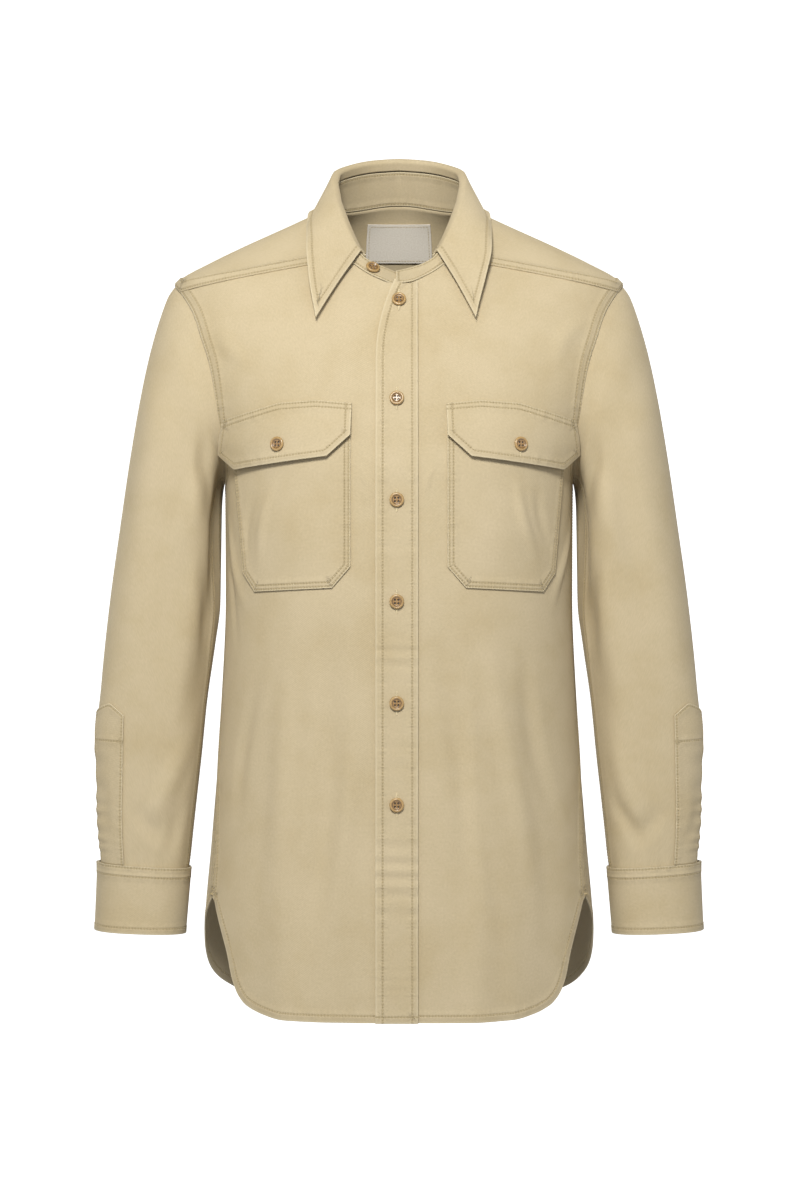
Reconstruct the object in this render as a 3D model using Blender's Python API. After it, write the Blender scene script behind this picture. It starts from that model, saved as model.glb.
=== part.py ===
"""Long-sleeved twill overshirt, filled out as if worn.

Metres, +Z up. The front faces -Y and the wearer's left is +X. The origin lies between the two neck points of
the shoulders. Every panel is a sheet on one body form, described by a turn round the body (0 at the centre
front, 90 degrees at the wearer's left side, 180 at the centre back) and a height. Its cloth is a wall between
that sheet and the same sheet moved along the form's normal.
"""

import math

import bpy
import numpy as np
from mathutils import Matrix, Vector

# Cloth and seams
CLOTH = 0.0014
DOUBLE_CLOTH = 0.0022
FALL_CLOTH = 0.0020
SEAM_GAP = 0.0004
LAID_GAP = 0.0009

# Body form: a row for each height. Depths run from the shoulder plane to the centre front and centre back.
TORSO_COLUMNS = ("height", "half_width", "front_depth", "back_depth", "squareness")
TORSO_SECTIONS = np.array([
    (0.0330, 0.0160, 0.010, 0.058, 2.20),
    (0.0150, 0.0500, 0.018, 0.0745, 2.20),
    (0.0050, 0.0670, 0.024, 0.081, 2.25),
    (-0.0113, 0.1010, 0.032, 0.0885, 2.30),
    (-0.0346, 0.1520, 0.0435, 0.098, 2.40),
    (-0.0501, 0.1835, 0.0525, 0.105, 2.45),
    (-0.0656, 0.2110, 0.063, 0.110, 2.50),
    (-0.0714, 0.2160, 0.0665, 0.1125, 2.50),
    (-0.1172, 0.2145, 0.088, 0.123, 2.60),
    (-0.1547, 0.2040, 0.102, 0.129, 2.65),
    (-0.1900, 0.1930, 0.112, 0.132, 2.60),
    (-0.2250, 0.1790, 0.119, 0.133, 2.55),
    (-0.2620, 0.1675, 0.124, 0.132, 2.50),
    (-0.3760, 0.1668, 0.1265, 0.127, 2.40),
    (-0.4536, 0.1698, 0.1250, 0.123, 2.35),
    (-0.5312, 0.1751, 0.1240, 0.122, 2.30),
    (-0.6088, 0.1814, 0.1245, 0.124, 2.30),
    (-0.6900, 0.1880, 0.1260, 0.128, 2.30),
    (-0.8100, 0.1905, 0.1280, 0.133, 2.30),
])

# Soft folds of the skirt: a row for each fold, as a trough or ridge that grows towards the hem
SKIRT_FOLD_COLUMNS = ("turn", "half_turn", "start_height", "depth")
SKIRT_FOLDS = (
    (-44, 11, -0.42, 0.0030),
    (-24, 9, -0.50, -0.0020),
    (31, 10, -0.45, 0.0028),
    (55, 12, -0.40, -0.0022),
    (-70, 9, -0.48, 0.0018),
    (118, 14, -0.42, 0.0035),
    (143, 11, -0.50, -0.0030),
    (172, 12, -0.45, 0.0030),
    (212, 13, -0.40, -0.0028),
    (238, 11, -0.46, 0.0034),
)
FOLD_REACH = 0.26

# Armhole: it runs from the shoulder point down to the underarm
SHOULDER_HEIGHT = -0.0714
UNDERARM_HEIGHT = -0.262
ARMHOLE_FRONT = 0.066
ARMHOLE_BACK = 0.076
ARMHOLE_SKEW = 0.12
ARM_ANGLES_FRONT = (24, 37, 50, 63, 77, 90, 105, 120, 135, 150, 165, 180)
ARM_ANGLES_TOP = (24, 12, 0, -13, -26, -40)
ARM_ANGLES_BACK = (-40, -57, -74, -90, -108, -126, -144, -162, -180)

# Neckline, centre front to centre back
NECK_HALF_WIDTH = 0.074
NECK_FRONT = 0.069
NECK_BACK = 0.0745
YOKE_NECK_TURN = 44.0
YOKE_BACK_HEIGHT = -0.102

# Side seams swing to the front below the waist and end in vents
VENT_HEIGHT = -0.6585
VENT_TURN = 75.5
SEAM_SWING_START = -0.42

# Hems: height of the edge against the distance from the centre, a row for each point of its curve
HEM_COLUMNS = ("from_centre", "height")
FRONT_HEM = np.array([
    (0.000, -0.7690), (0.060, -0.7695), (0.105, -0.7685), (0.128, -0.7640), (0.143, -0.7575),
    (0.1510, -0.7490), (0.1570, -0.7350), (0.1625, -0.7080), (0.1700, -0.6810), (0.1763, -0.6585),
])
HEM_STEPS_FRONT = (0.19, 0.36, 0.50, 0.62, 0.72, 0.80, 0.86, 0.905, 0.94, 0.965, 0.985)
BACK_HEM_COLUMNS = ("turn", "height")
BACK_HEM = np.array([
    (180.0, -0.7980), (158.0, -0.7955), (141.0, -0.7870), (128.0, -0.7755), (117.0, -0.7625),
    (109.0, -0.7510), (101.0, -0.7350), (94.0, -0.7150), (87.0, -0.6900), (75.5, -0.6585),
])
BACK_COLUMNS = len(BACK_HEM) - 1

# Front band, lapping over the wearer's right front
BAND_EDGE = -0.0219
BAND_SEAM = 0.0177
LEFT_FRONT_EDGE = 0.0160
RIGHT_FRONT_EDGE = 0.0152
BAND_TOP_TURN = 0.0180
BAND_TURN_START = -0.150
BAND_NECK_DROP = 0.0016
BAND_HEM_DROP = 0.0005

# Sleeve: a row for each ring from the armhole to the cuff hem
SLEEVE_COLUMNS = ("outer_x", "outer_z", "inner_x", "inner_z", "centre_y", "half_depth", "squareness")
SLEEVE_SECTIONS = np.array([
    (0.2160, -0.0714, 0.1675, -0.2620, 0.0050, 0.0710, 2.1),
    (0.2230, -0.0810, 0.1698, -0.2640, 0.0050, 0.0715, 2.1),
    (0.2318, -0.1044, 0.1712, -0.2700, 0.0040, 0.0715, 2.2),
    (0.2425, -0.1432, 0.1722, -0.2850, 0.0030, 0.0700, 2.3),
    (0.2503, -0.1820, 0.1726, -0.3080, 0.0015, 0.0685, 2.5),
    (0.2600, -0.2402, 0.1730, -0.3430, 0.0000, 0.0655, 2.6),
    (0.2693, -0.3050, 0.1738, -0.3800, -0.0020, 0.0610, 2.7),
    (0.2790, -0.3760, 0.1788, -0.4200, -0.0045, 0.0560, 2.7),
    (0.2871, -0.4536, 0.1862, -0.4730, -0.0075, 0.0500, 2.6),
    (0.2914, -0.5210, 0.1912, -0.5240, -0.0100, 0.0445, 2.5),
    (0.2914, -0.5700, 0.1965, -0.5720, -0.0115, 0.0410, 2.5),
    (0.2897, -0.6010, 0.2000, -0.6050, -0.0125, 0.0385, 2.5),
    (0.2878, -0.6285, 0.2026, -0.6340, -0.0135, 0.0360, 2.4),
    (0.2888, -0.6610, 0.2052, -0.6650, -0.0145, 0.0345, 2.3),
    (0.2902, -0.6935, 0.2078, -0.6965, -0.0155, 0.0340, 2.3),
])
SLEEVE_RINGS = (0, 0.5, 1, 1.6, 2.3, 3, 3.7, 4.4, 5.2, 6, 6.8, 7.6, 8.4, 9.2, 10, 11, 12)
CUFF_RINGS = (12.02, 12.67, 13.33, 14)
ARMHOLE_FADE = 4.5

# Folds of the sleeve, a row for each: where its middle lies, how far it reaches, and its depth
SLEEVE_FOLD_COLUMNS = ("row", "row_reach", "angle", "angle_reach", "slant", "depth")
SLEEVE_FOLDS = (
    (3.2, 1.6, 128, 22, 10, 0.0055),
    (4.6, 1.8, 112, 16, -8, -0.0035),
    (6.2, 1.5, 140, 20, 12, 0.0040),
    (3.4, 1.5, -128, 24, -12, 0.0060),
    (5.4, 1.6, -105, 20, 12, -0.0040),
    (7.6, 1.2, -60, 26, 14, 0.0035),
    (8.6, 1.0, 30, 30, -16, -0.0025),
    (10.6, 0.8, 100, 26, 18, 0.0025),
    (11.0, 0.7, -40, 30, -16, -0.0025),
)

# Cuff overlap and gauntlet placket
CUFF_OUTER_END = -52
CUFF_INNER_END = 340
CUFF_LAP_START = 22
CUFF_BUTTON_ANGLE = -38
CUFF_BUTTON_ROW = 13.1
CUFF_PROUD = 0.0008
GAUNTLET_ANGLES = (63, 55, 47, 35, 22)
GAUNTLET_TOP_ROWS = (8.41, 8.33, 8.26, 8.33, 8.41)
GAUNTLET_END_ROW = 11.95
GAUNTLET_RINGS = 7

# Collar: a row for each turn round the neck, from the front edge to the centre back
STAND_COLUMNS = ("turn", "top_x", "top_y", "top_z")
STAND_SECTIONS = np.array([
    (-12, -0.0105, -0.0440, -0.0630), (0, -0.0010, -0.0470, -0.0620), (12, 0.0170, -0.0505, -0.0575),
    (24, 0.0320, -0.0520, -0.0495), (38, 0.0425, -0.0455, -0.0330), (55, 0.0525, -0.0330, -0.0120),
    (72, 0.0600, -0.0160, 0.0060), (90, 0.0630, 0.0020, 0.0195), (112, 0.0600, 0.0230, 0.0312),
    (135, 0.0465, 0.0430, 0.0395), (158, 0.0250, 0.0575, 0.0455), (180, 0.0000, 0.0630, 0.0480),
])
FALL_COLUMNS = ("turn", "roll_height", "roll_width", "edge_x", "edge_y", "edge_z")
FALL_SECTIONS = np.array([
    (24, 0.0030, 0.0075, 0.0785, -0.0900, -0.1105),
    (38, 0.0045, 0.0075, 0.0855, -0.0740, -0.0700),
    (55, 0.0055, 0.0075, 0.0880, -0.0560, -0.0400),
    (72, 0.0065, 0.0072, 0.0880, -0.0330, -0.0190),
    (90, 0.0075, 0.0070, 0.0840, -0.0050, -0.0050),
    (112, 0.0085, 0.0070, 0.0755, 0.0300, -0.0010),
    (135, 0.0095, 0.0072, 0.0570, 0.0610, 0.0010),
    (158, 0.0100, 0.0075, 0.0300, 0.0800, 0.0020),
    (180, 0.0100, 0.0075, 0.0000, 0.0860, 0.0025),
])
COLLAR_TURNS = (24, 31, 38, 46, 55, 65, 77, 90, 104, 120, 139, 160, 180)
STAND_RIGHT_END = (371, 362, 354, 345)
STAND_LEFT_END = (-2, 6, 15)
STAND_LAP = 0.0032
FALL_SEAT = 0.0013
STAND_SEAT = 0.0007
STAND_SEAT_FRONT = 0.0010
FALL_LIFT = 0.0036
FALL_BOW = 0.0015
LEFT_TIP_IN = 0.006

# Pocket and flap outlines as seen from the front, distances from the centre and heights
POCKET_OUTLINE = np.array([
    (0.0450, -0.2100), (0.0450, -0.3450), (0.0622, -0.3648), (0.1350, -0.3682), (0.1465, -0.3505),
    (0.1568, -0.2370), (0.1568, -0.2250),
])
POCKET_ROWS = 9
FLAP_TOP = np.array([(0.0440, -0.1928), (0.0770, -0.1896), (0.1120, -0.1915), (0.1660, -0.2060)])
FLAP_BOTTOM = np.array([(0.0448, -0.2230), (0.0665, -0.2428), (0.1504, -0.2517), (0.1664, -0.2357)])
FLAP_SEAT = 0.0007
FLAP_RISE = 0.0048
FLAP_RISE_POWER = 0.8

# Buttons
BUTTON_RADIUS = 0.0068
BUTTON_THICKNESS = 0.0028
FRONT_BUTTON_X = -0.0021
TOP_BUTTON_HEIGHT = -0.0940
BUTTON_SPACING = 0.0945
FLAP_BUTTON_X = 0.1114
FLAP_BUTTON_HEIGHT = -0.2303
STAND_BUTTON_TURN = -19

# Neck label
LABEL_WIDTH = 0.067
LABEL_TOP = -0.0010
LABEL_BOTTOM = -0.0380
LABEL_CLOTH_WALL = 0.0010

KHAKI = (0.604, 0.508, 0.323, 1)
LABEL_CLOTH = (0.61, 0.58, 0.53, 1)
HORN = (0.30, 0.17, 0.06, 1)


def clear_scene():
    for old in list(bpy.data.objects):
        bpy.data.objects.remove(old)


def make_material(name, colour, roughness):
    material = bpy.data.materials.new(name)
    material.use_nodes = True
    shader = material.node_tree.nodes["Principled BSDF"]
    shader.inputs["Base Color"].default_value = colour
    shader.inputs["Roughness"].default_value = roughness
    shader.inputs["Metallic"].default_value = 0
    return material


def smooth_columns(table, at):
    """The table's other columns at values of its first one, by cubic pieces that never overshoot a row."""
    rows = table[np.argsort(table[:, 0])]
    keys, values = rows[:, 0], rows[:, 1:]
    rise = np.diff(values, axis=0) / np.diff(keys)[:, None]
    before, after = rise[:-1], rise[1:]
    same = before * after > 0
    slope = np.zeros_like(values)
    slope[1:-1] = np.where(same, 2 * before * after / np.where(same, before + after, 1), 0)
    slope[0], slope[-1] = rise[0], rise[-1]
    at = np.clip(np.asarray(at, float), keys[0], keys[-1])
    row = np.clip(np.searchsorted(keys, at) - 1, 0, len(keys) - 2)
    span = (keys[row + 1] - keys[row])[..., None]
    t = (at - keys[row])[..., None] / span
    start = (2 * t**3 - 3 * t**2 + 1) * values[row] + (t**3 - 2 * t**2 + t) * span * slope[row]
    return start + (3 * t**2 - 2 * t**3) * values[row + 1] + (t**3 - t**2) * span * slope[row + 1]


def torso(height):
    """Half width, front depth, back depth and squareness of the body form at a height."""
    return np.moveaxis(smooth_columns(TORSO_SECTIONS, height), -1, 0)


def bump(distance):
    """A smooth hump: 1 at 0, falling to 0 at 1 and beyond."""
    near = np.clip(1 - np.abs(distance), 0, 1)
    return near * near * (3 - 2 * near)


def form_radius(turn, height):
    """Distance of the body form from its upright axis, with the skirt's folds."""
    half_width, front, back, square = torso(height)
    side, ahead = np.abs(np.sin(turn)), np.cos(turn)
    depth = np.where(ahead > 0, front, back)
    radius = ((side / half_width) ** square + (np.abs(ahead) / depth) ** square) ** (-1 / square)
    degrees = np.degrees(turn)
    for middle, half_turn, start, deep in SKIRT_FOLDS:
        away = (degrees - middle + 180) % 360 - 180
        growth = np.clip((start - height) / FOLD_REACH, 0, 1)
        radius = radius + deep * bump(away / half_turn) * growth * growth
    return radius


def form_point(turn, height, out=0.0):
    """Point of the body form at a turn and a height, moved out along the form's normal."""
    turn, height = np.broadcast_arrays(np.asarray(turn, float), np.asarray(height, float))

    def at(t, h):
        radius = form_radius(t, h)
        return np.stack([radius * np.sin(t), -radius * np.cos(t), h], -1)

    step = 1e-4
    along = at(turn + step, height) - at(turn - step, height)
    up = at(turn, height + step) - at(turn, height - step)
    normal = np.cross(along, up)
    normal /= np.linalg.norm(normal, axis=-1, keepdims=True)
    return at(turn, height) + normal * np.asarray(out)[..., None]


def front_turn(x, height):
    """Turn of the front point at a distance from the centre."""
    half_width, front, _, square = torso(height)
    depth = front * np.maximum(1 - (np.abs(x) / half_width) ** square, 0) ** (1 / square)
    return np.arctan2(x, depth)


def height_at(turn, radius):
    """Height at which the body form has this radius, found by halving the range."""
    turn, radius = np.broadcast_arrays(np.asarray(turn, float), np.asarray(radius, float))
    low, high = np.full(turn.shape, -0.2), np.full(turn.shape, 0.033)
    for _ in range(40):
        middle = (low + high) / 2
        wide = form_radius(turn, middle) > radius
        low, high = np.where(wide, middle, low), np.where(wide, high, middle)
    return (low + high) / 2


def side_turn(height):
    """Turn of the side seam, which swings forward below the waist."""
    swing = np.clip((SEAM_SWING_START - height) / (SEAM_SWING_START - VENT_HEIGHT), 0, 1)
    return np.radians(90 + (VENT_TURN - 90) * swing * swing * (3 - 2 * swing))


def neckline(turn):
    """(turn, height) of the neckline, an oval in plan."""
    ahead = np.cos(turn)
    depth = np.where(ahead > 0, NECK_FRONT, NECK_BACK)
    radius = ((np.sin(turn) / NECK_HALF_WIDTH) ** 2 + (ahead / depth) ** 2) ** -0.5
    return np.stack([turn, height_at(turn, radius)], -1)


def armhole(degrees):
    """(turn, height) of the armhole: 0 is the shoulder point, 180 the underarm, negative the back."""
    angle = np.radians(np.asarray(degrees, float))
    middle, half = (SHOULDER_HEIGHT + UNDERARM_HEIGHT) / 2, (SHOULDER_HEIGHT - UNDERARM_HEIGHT) / 2
    height = middle + half * np.cos(angle)
    reach = np.where(angle > 0, -ARMHOLE_FRONT, ARMHOLE_BACK)
    y = reach * np.abs(np.sin(angle)) * (1 - ARMHOLE_SKEW * np.cos(angle))
    half_width, front, back, square = torso(height)
    depth = np.where(y < 0, front, back)
    x = half_width * (1 - (np.abs(y) / depth) ** square) ** (1 / square)
    return np.stack([np.arctan2(x, -y), height], -1)


def between(start, end, steps):
    """Evenly spaced points from one (turn, height) to another, ends included."""
    share = np.linspace(0, 1, steps + 1)[:, None]
    return np.asarray(start) * (1 - share) + np.asarray(end) * share


def fill(bottom, top, left, right):
    """A grid between four edges, blended from them (a Coons patch). Rows run from bottom to top."""
    u = np.linspace(0, 1, len(bottom))[None, :, None]
    v = np.linspace(0, 1, len(left))[:, None, None]
    ruled = (1 - v) * bottom[None] + v * top[None] + (1 - u) * left[:, None] + u * right[:, None]
    corners = (1 - v) * ((1 - u) * bottom[0] + u * bottom[-1]) + v * ((1 - u) * top[0] + u * top[-1])
    return ruled - corners


def inset(points, gap):
    """Moves a sheet's four edges in by a gap, towards the next line of points."""
    points = points.copy()
    for edge, near in ((0, 1), (-1, -2)):
        step = points[near] - points[edge]
        points[edge] += gap * step / np.linalg.norm(step, axis=-1, keepdims=True)
        step = points[:, near] - points[:, edge]
        points[:, edge] += gap * step / np.linalg.norm(step, axis=-1, keepdims=True)
    return points


def add_wall(name, outer, inner, material, closed=False):
    """A wall of cloth between two grids of points, with its rims. A closed wall joins its last column to its
    first, as a tube does. Each square of the grids is cut along its shorter diagonal, the same on both."""
    rows, columns = outer.shape[:2]
    index = np.arange(rows * columns).reshape(rows, columns)
    if closed:
        index = np.concatenate([index, index[:, :1]], 1)
    points = np.concatenate([outer.reshape(-1, 3), inner.reshape(-1, 3)])

    def cut(corners):
        a, b, c, d = np.moveaxis(corners, -1, 0)
        short = np.linalg.norm(points[a] - points[c], axis=-1) <= np.linalg.norm(points[b] - points[d], axis=-1)
        first = np.where(short, [a, b, c], [a, b, d])
        second = np.where(short, [a, c, d], [b, c, d])
        return np.concatenate([first, second], 1).T

    def strip(first, second):
        return cut(np.stack([first[:-1], first[1:], second[1:], second[:-1]], -1))

    other = index + rows * columns
    face = np.concatenate([strip(index[k], index[k + 1]) for k in range(rows - 1)])
    faces = [face, face[:, ::-1] + rows * columns, strip(other[0], index[0]), strip(index[-1], other[-1])]
    if not closed:
        faces += [strip(index[:, 0], other[:, 0]), strip(other[:, -1], index[:, -1])]
    faces = np.concatenate(faces)
    a, b, c = (points[faces[:, k]] for k in range(3))
    if np.sum(a * np.cross(b, c)) < 0:
        faces = faces[:, ::-1]
    mesh = bpy.data.meshes.new(name)
    mesh.from_pydata(points.tolist(), [], faces.tolist())
    mesh.shade_smooth()
    mesh.set_sharp_from_angle(angle=math.radians(40))
    mesh.materials.append(material)
    wall = bpy.data.objects.new(name, mesh)
    bpy.context.scene.collection.objects.link(wall)
    return wall


def add_panel(name, turn, height, low, high, material):
    """A piece of the body form, its wall between two distances out from it."""
    outer = inset(form_point(turn, height, high + 0 * turn), SEAM_GAP / 2)
    inner = inset(form_point(turn, height, low + 0 * turn), SEAM_GAP / 2)
    return add_wall(name, outer, inner, material)


def yoke_front_seam():
    """(turn, height) of the front yoke seam of the wearer's left, from the neckline to the armhole."""
    start = neckline(np.radians(YOKE_NECK_TURN))
    end = armhole(ARM_ANGLES_TOP[0])
    start_x, end_x = (form_point(*p)[0] for p in (start, end))
    share = np.linspace(0, 1, 8)
    x = start_x + (end_x - start_x) * share
    height = start[1] + (end[1] - start[1]) * share
    seam = np.stack([front_turn(x, height), height], -1)
    seam[0], seam[-1] = start, end
    return seam


def side_edge(arm_angles, rows):
    """(turn, height) nodes up the side seam from the vent, then up the armhole."""
    height = np.linspace(VENT_HEIGHT, UNDERARM_HEIGHT, rows + 1)
    seam = np.stack([side_turn(height), height], -1)
    return np.concatenate([seam[:-1], armhole(arm_angles)])


def build_front(name, side, inner_x, material):
    """One front, from its centre edge to the side seam and from the hem to the yoke and neckline."""
    rows_low = 15
    neck_start = np.arctan2(inner_x, NECK_FRONT)
    neck = neckline(np.linspace(neck_start, np.radians(YOKE_NECK_TURN), 6))
    top = np.concatenate([neck[:-1], yoke_front_seam()])
    right = side_edge(ARM_ANGLES_FRONT[::-1], rows_low)
    hem_end = FRONT_HEM[-1, 0]
    hem_x = np.array([inner_x, *(inner_x + (hem_end - inner_x) * np.array(HEM_STEPS_FRONT)), hem_end])
    hem_z = smooth_columns(FRONT_HEM, np.abs(hem_x))[..., 0]
    bottom = np.stack([front_turn(hem_x, hem_z), hem_z], -1)
    bottom[-1] = right[0]
    low = np.linspace(hem_z[0], UNDERARM_HEIGHT, rows_low + 1)[:-1]
    high = np.linspace(UNDERARM_HEIGHT, neck[0, 1], len(ARM_ANGLES_FRONT))
    height = np.concatenate([low, high])
    left = np.stack([front_turn(inner_x, height), height], -1)
    left[0], left[-1] = bottom[0], top[0]
    grid = fill(bottom, top, left, right)
    return add_panel(name, side * grid[..., 0], grid[..., 1], -CLOTH, 0, material)


def build_back(material):
    """The back: half of it is filled and the other half mirrors it."""
    rows_low = 15
    right = side_edge(ARM_ANGLES_BACK[::-1], rows_low)
    centre = np.array([np.pi, YOKE_BACK_HEIGHT])
    top = between(centre, right[-1], BACK_COLUMNS)
    centre_heights = np.concatenate([
        np.linspace(BACK_HEM[0, 1], UNDERARM_HEIGHT, rows_low + 1)[:-1],
        np.linspace(UNDERARM_HEIGHT, YOKE_BACK_HEIGHT, len(ARM_ANGLES_BACK)),
    ])
    left = np.stack([np.full(len(centre_heights), np.pi), centre_heights], -1)
    bottom = BACK_HEM * [math.pi / 180, 1]
    bottom[-1] = right[0]
    half = fill(bottom, top, left, right)
    return add_panel("back", *mirrored(half[:, ::-1]), -CLOTH, 0, material)


def mirrored(half):
    """Turns and heights of a half grid that ends on the centre back, carried on over the other side."""
    other = half[:, -2::-1].copy()
    other[..., 0] = 2 * np.pi - other[..., 0]
    whole = np.concatenate([half, other], 1)
    return whole[..., 0], whole[..., 1]


def build_yoke(material):
    """The yoke: from each front seam over the shoulder to the seam across the back."""
    arm = armhole(ARM_ANGLES_TOP)
    centre = np.array([np.pi, YOKE_BACK_HEIGHT])
    outer = np.concatenate([arm, between(arm[-1], centre, BACK_COLUMNS)[1:]])
    neck = neckline(np.linspace(np.radians(YOKE_NECK_TURN), np.pi, len(outer)))
    front = yoke_front_seam()
    back = between(neck[-1], centre, len(front) - 1)
    half = fill(outer, neck, front[::-1], back[::-1])
    return add_panel("yoke", *mirrored(half), -CLOTH, 0, material)


def sleeve_section(row):
    """The sleeve table's columns at a row, by cubic pieces."""
    keyed = np.concatenate([np.arange(len(SLEEVE_SECTIONS))[:, None], SLEEVE_SECTIONS], 1)
    return np.moveaxis(smooth_columns(keyed, row), -1, 0)


def sleeve_point(row, degrees, out=0.0):
    """Point of the left sleeve's outside: an oval ring that starts as the armhole and fades to the table's."""
    row, degrees = np.broadcast_arrays(np.asarray(row, float), np.asarray(degrees, float))

    def oval(rows, angle):
        outer_x, outer_z, inner_x, inner_z, centre_y, depth, square = sleeve_section(rows)
        half_x, half_z = (outer_x - inner_x) / 2, (outer_z - inner_z) / 2
        across, ahead = np.cos(angle), np.sin(angle)
        width = np.hypot(half_x, half_z)
        radius = ((np.abs(across) / width) ** square + (np.abs(ahead) / depth) ** square) ** (-1 / square)
        degree = (np.degrees(angle) + 180) % 360 - 180
        for middle, reach, turn, turn_reach, slant, deep in SLEEVE_FOLDS:
            away = degree - turn - slant * (rows - middle)
            radius = radius - deep * bump((rows - middle) / reach) * bump(away / turn_reach)
        x = (outer_x + inner_x) / 2 + radius * across * half_x / width
        z = (outer_z + inner_z) / 2 + radius * across * half_z / width
        return np.stack([x, centre_y - radius * ahead, z], -1)

    def at(rows, degree):
        angle = np.radians(degree)
        wrapped = (degree + 180) % 360 - 180
        turn, height = np.moveaxis(armhole(np.where(wrapped == -180, 180, wrapped)), -1, 0)
        start = form_point(turn, height)
        fade = np.clip(1 - rows / ARMHOLE_FADE, 0, 1)[..., None]
        return oval(rows, angle) + (start - oval(np.zeros_like(rows), angle)) * fade * fade * (3 - 2 * fade)

    step = 0.01
    along = at(np.minimum(row + step, 14), degrees) - at(np.maximum(row - step, 0), degrees)
    around = at(row, degrees + 0.2) - at(row, degrees - 0.2)
    normal = np.cross(around, along)
    normal /= np.linalg.norm(normal, axis=-1, keepdims=True)
    return at(row, degrees) + normal * np.asarray(out)[..., None]


def build_sleeve(side, label, material):
    degrees = np.array([*ARM_ANGLES_FRONT[:0:-1], *ARM_ANGLES_TOP, *ARM_ANGLES_BACK[1:-1]])
    outer, inner = (sleeve_point(np.array(SLEEVE_RINGS)[:, None], degrees[None], out) for out in (0.0, -CLOTH))
    away = outer[1] - outer[0]
    away = SEAM_GAP * away / np.linalg.norm(away, axis=-1, keepdims=True) + [SEAM_GAP, 0, 0]
    outer[0] += away
    inner[0] += away
    mirror = [side, 1, 1]
    return add_wall("sleeve_" + label, outer * mirror, inner * mirror, material, closed=True)


def build_cuff(side, label, material):
    """A band that laps over itself behind the outer edge of the sleeve."""
    degrees = np.array([*range(CUFF_OUTER_END, CUFF_LAP_START, 15), *range(CUFF_LAP_START, 330, 18), CUFF_INNER_END])
    lap = np.clip((CUFF_LAP_START - degrees) / (CUFF_LAP_START - (CUFF_INNER_END - 360)), 0, 1)
    out = CUFF_PROUD + (DOUBLE_CLOTH + 2 * SEAM_GAP) * lap * lap * (3 - 2 * lap)
    rings, mirror = np.array(CUFF_RINGS)[:, None], [side, 1, 1]
    outer, inner = (sleeve_point(rings, degrees[None], out[None] - deep) for deep in (0, DOUBLE_CLOTH))
    return add_wall("cuff_" + label, outer * mirror, inner * mirror, material)


def build_gauntlet(side, label, material):
    """The pointed placket band over the sleeve's slit."""
    top = np.array(GAUNTLET_TOP_ROWS)
    share = np.linspace(0, 1, GAUNTLET_RINGS)[:, None]
    rows = top[None] * (1 - share) + GAUNTLET_END_ROW * share
    angles, mirror = np.array(GAUNTLET_ANGLES)[None], [side, 1, 1]
    outer, inner = (sleeve_point(rows, angles, out) for out in (LAID_GAP + CLOTH, LAID_GAP))
    return add_wall("gauntlet_" + label, outer * mirror, inner * mirror, material)


def normals(points):
    """Unit normals of a grid of points."""
    cross = np.cross(np.gradient(points, axis=0), np.gradient(points, axis=1))
    return cross / np.linalg.norm(cross, axis=-1, keepdims=True)


def stand_point(turn, share, out=0.0):
    """Point of the collar stand: share 0 on the neckline, 1 on its top edge."""
    degrees = np.degrees(turn)
    folded = np.where(degrees > 180, 360 - degrees, degrees)
    top = smooth_columns(STAND_SECTIONS, folded)
    top[..., 0] = np.where(degrees > 180, -top[..., 0], top[..., 0])
    seat = form_point(*np.moveaxis(neckline(turn), -1, 0))
    rise = top - seat
    share = np.asarray(share, float)
    centre = seat + rise * share[..., None]
    away = np.stack([np.sin(turn), -np.cos(turn), np.zeros_like(turn)], -1)
    rise_dir = rise / np.linalg.norm(rise, axis=-1, keepdims=True)
    normal = away - rise_dir * np.sum(away * rise_dir, -1, keepdims=True)
    normal /= np.linalg.norm(normal, axis=-1, keepdims=True)
    gap = STAND_SEAT + STAND_SEAT_FRONT * bump(folded / 50)
    return centre + normal * np.asarray(out)[..., None] + rise_dir * (gap * (1 - share))[..., None]


def stand_out(degrees):
    """How far the stand's outer face lies out from its line: it steps in to pass under the other end."""
    under = np.clip((degrees - 345) / 15, 0, 1)
    return DOUBLE_CLOTH / 2 - STAND_LAP * under * under * (3 - 2 * under)


def build_stand(material):
    """The stand: a band round the neck whose wearer's right end passes under the other at the front."""
    round_neck = np.array(COLLAR_TURNS)
    degrees = np.concatenate([STAND_LEFT_END, round_neck, 360 - round_neck[-2::-1], STAND_RIGHT_END[::-1]])
    turn = np.radians(degrees)
    out = stand_out(degrees)
    share = np.linspace(0, 1, 4)[:, None]
    turn, share = turn[None] + 0 * share, share + 0 * turn[None]
    outer, inner = (stand_point(turn, share, out[None] - deep) for deep in (0, DOUBLE_CLOTH))
    return add_wall("collar_stand", outer, inner, material)


def lift(points, clearance):
    """Moves points out along the body form's normal until they clear it."""
    for _ in range(4):
        turn = np.arctan2(points[..., 0], -points[..., 1])
        radius = np.hypot(points[..., 0], points[..., 1])
        height = np.clip(points[..., 2], -0.2, 0.0325)
        step = 1e-4
        slope = (form_radius(turn, height + step) - form_radius(turn, height - step)) / (2 * step)
        length = np.sqrt(1 + slope**2)
        gap = (radius - form_radius(turn, height)) / length
        need = np.maximum(clearance - gap, 0)
        out = np.stack([np.sin(turn), -np.cos(turn), -slope], -1) / length[..., None]
        points = points + out * need[..., None]
    return points


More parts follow.
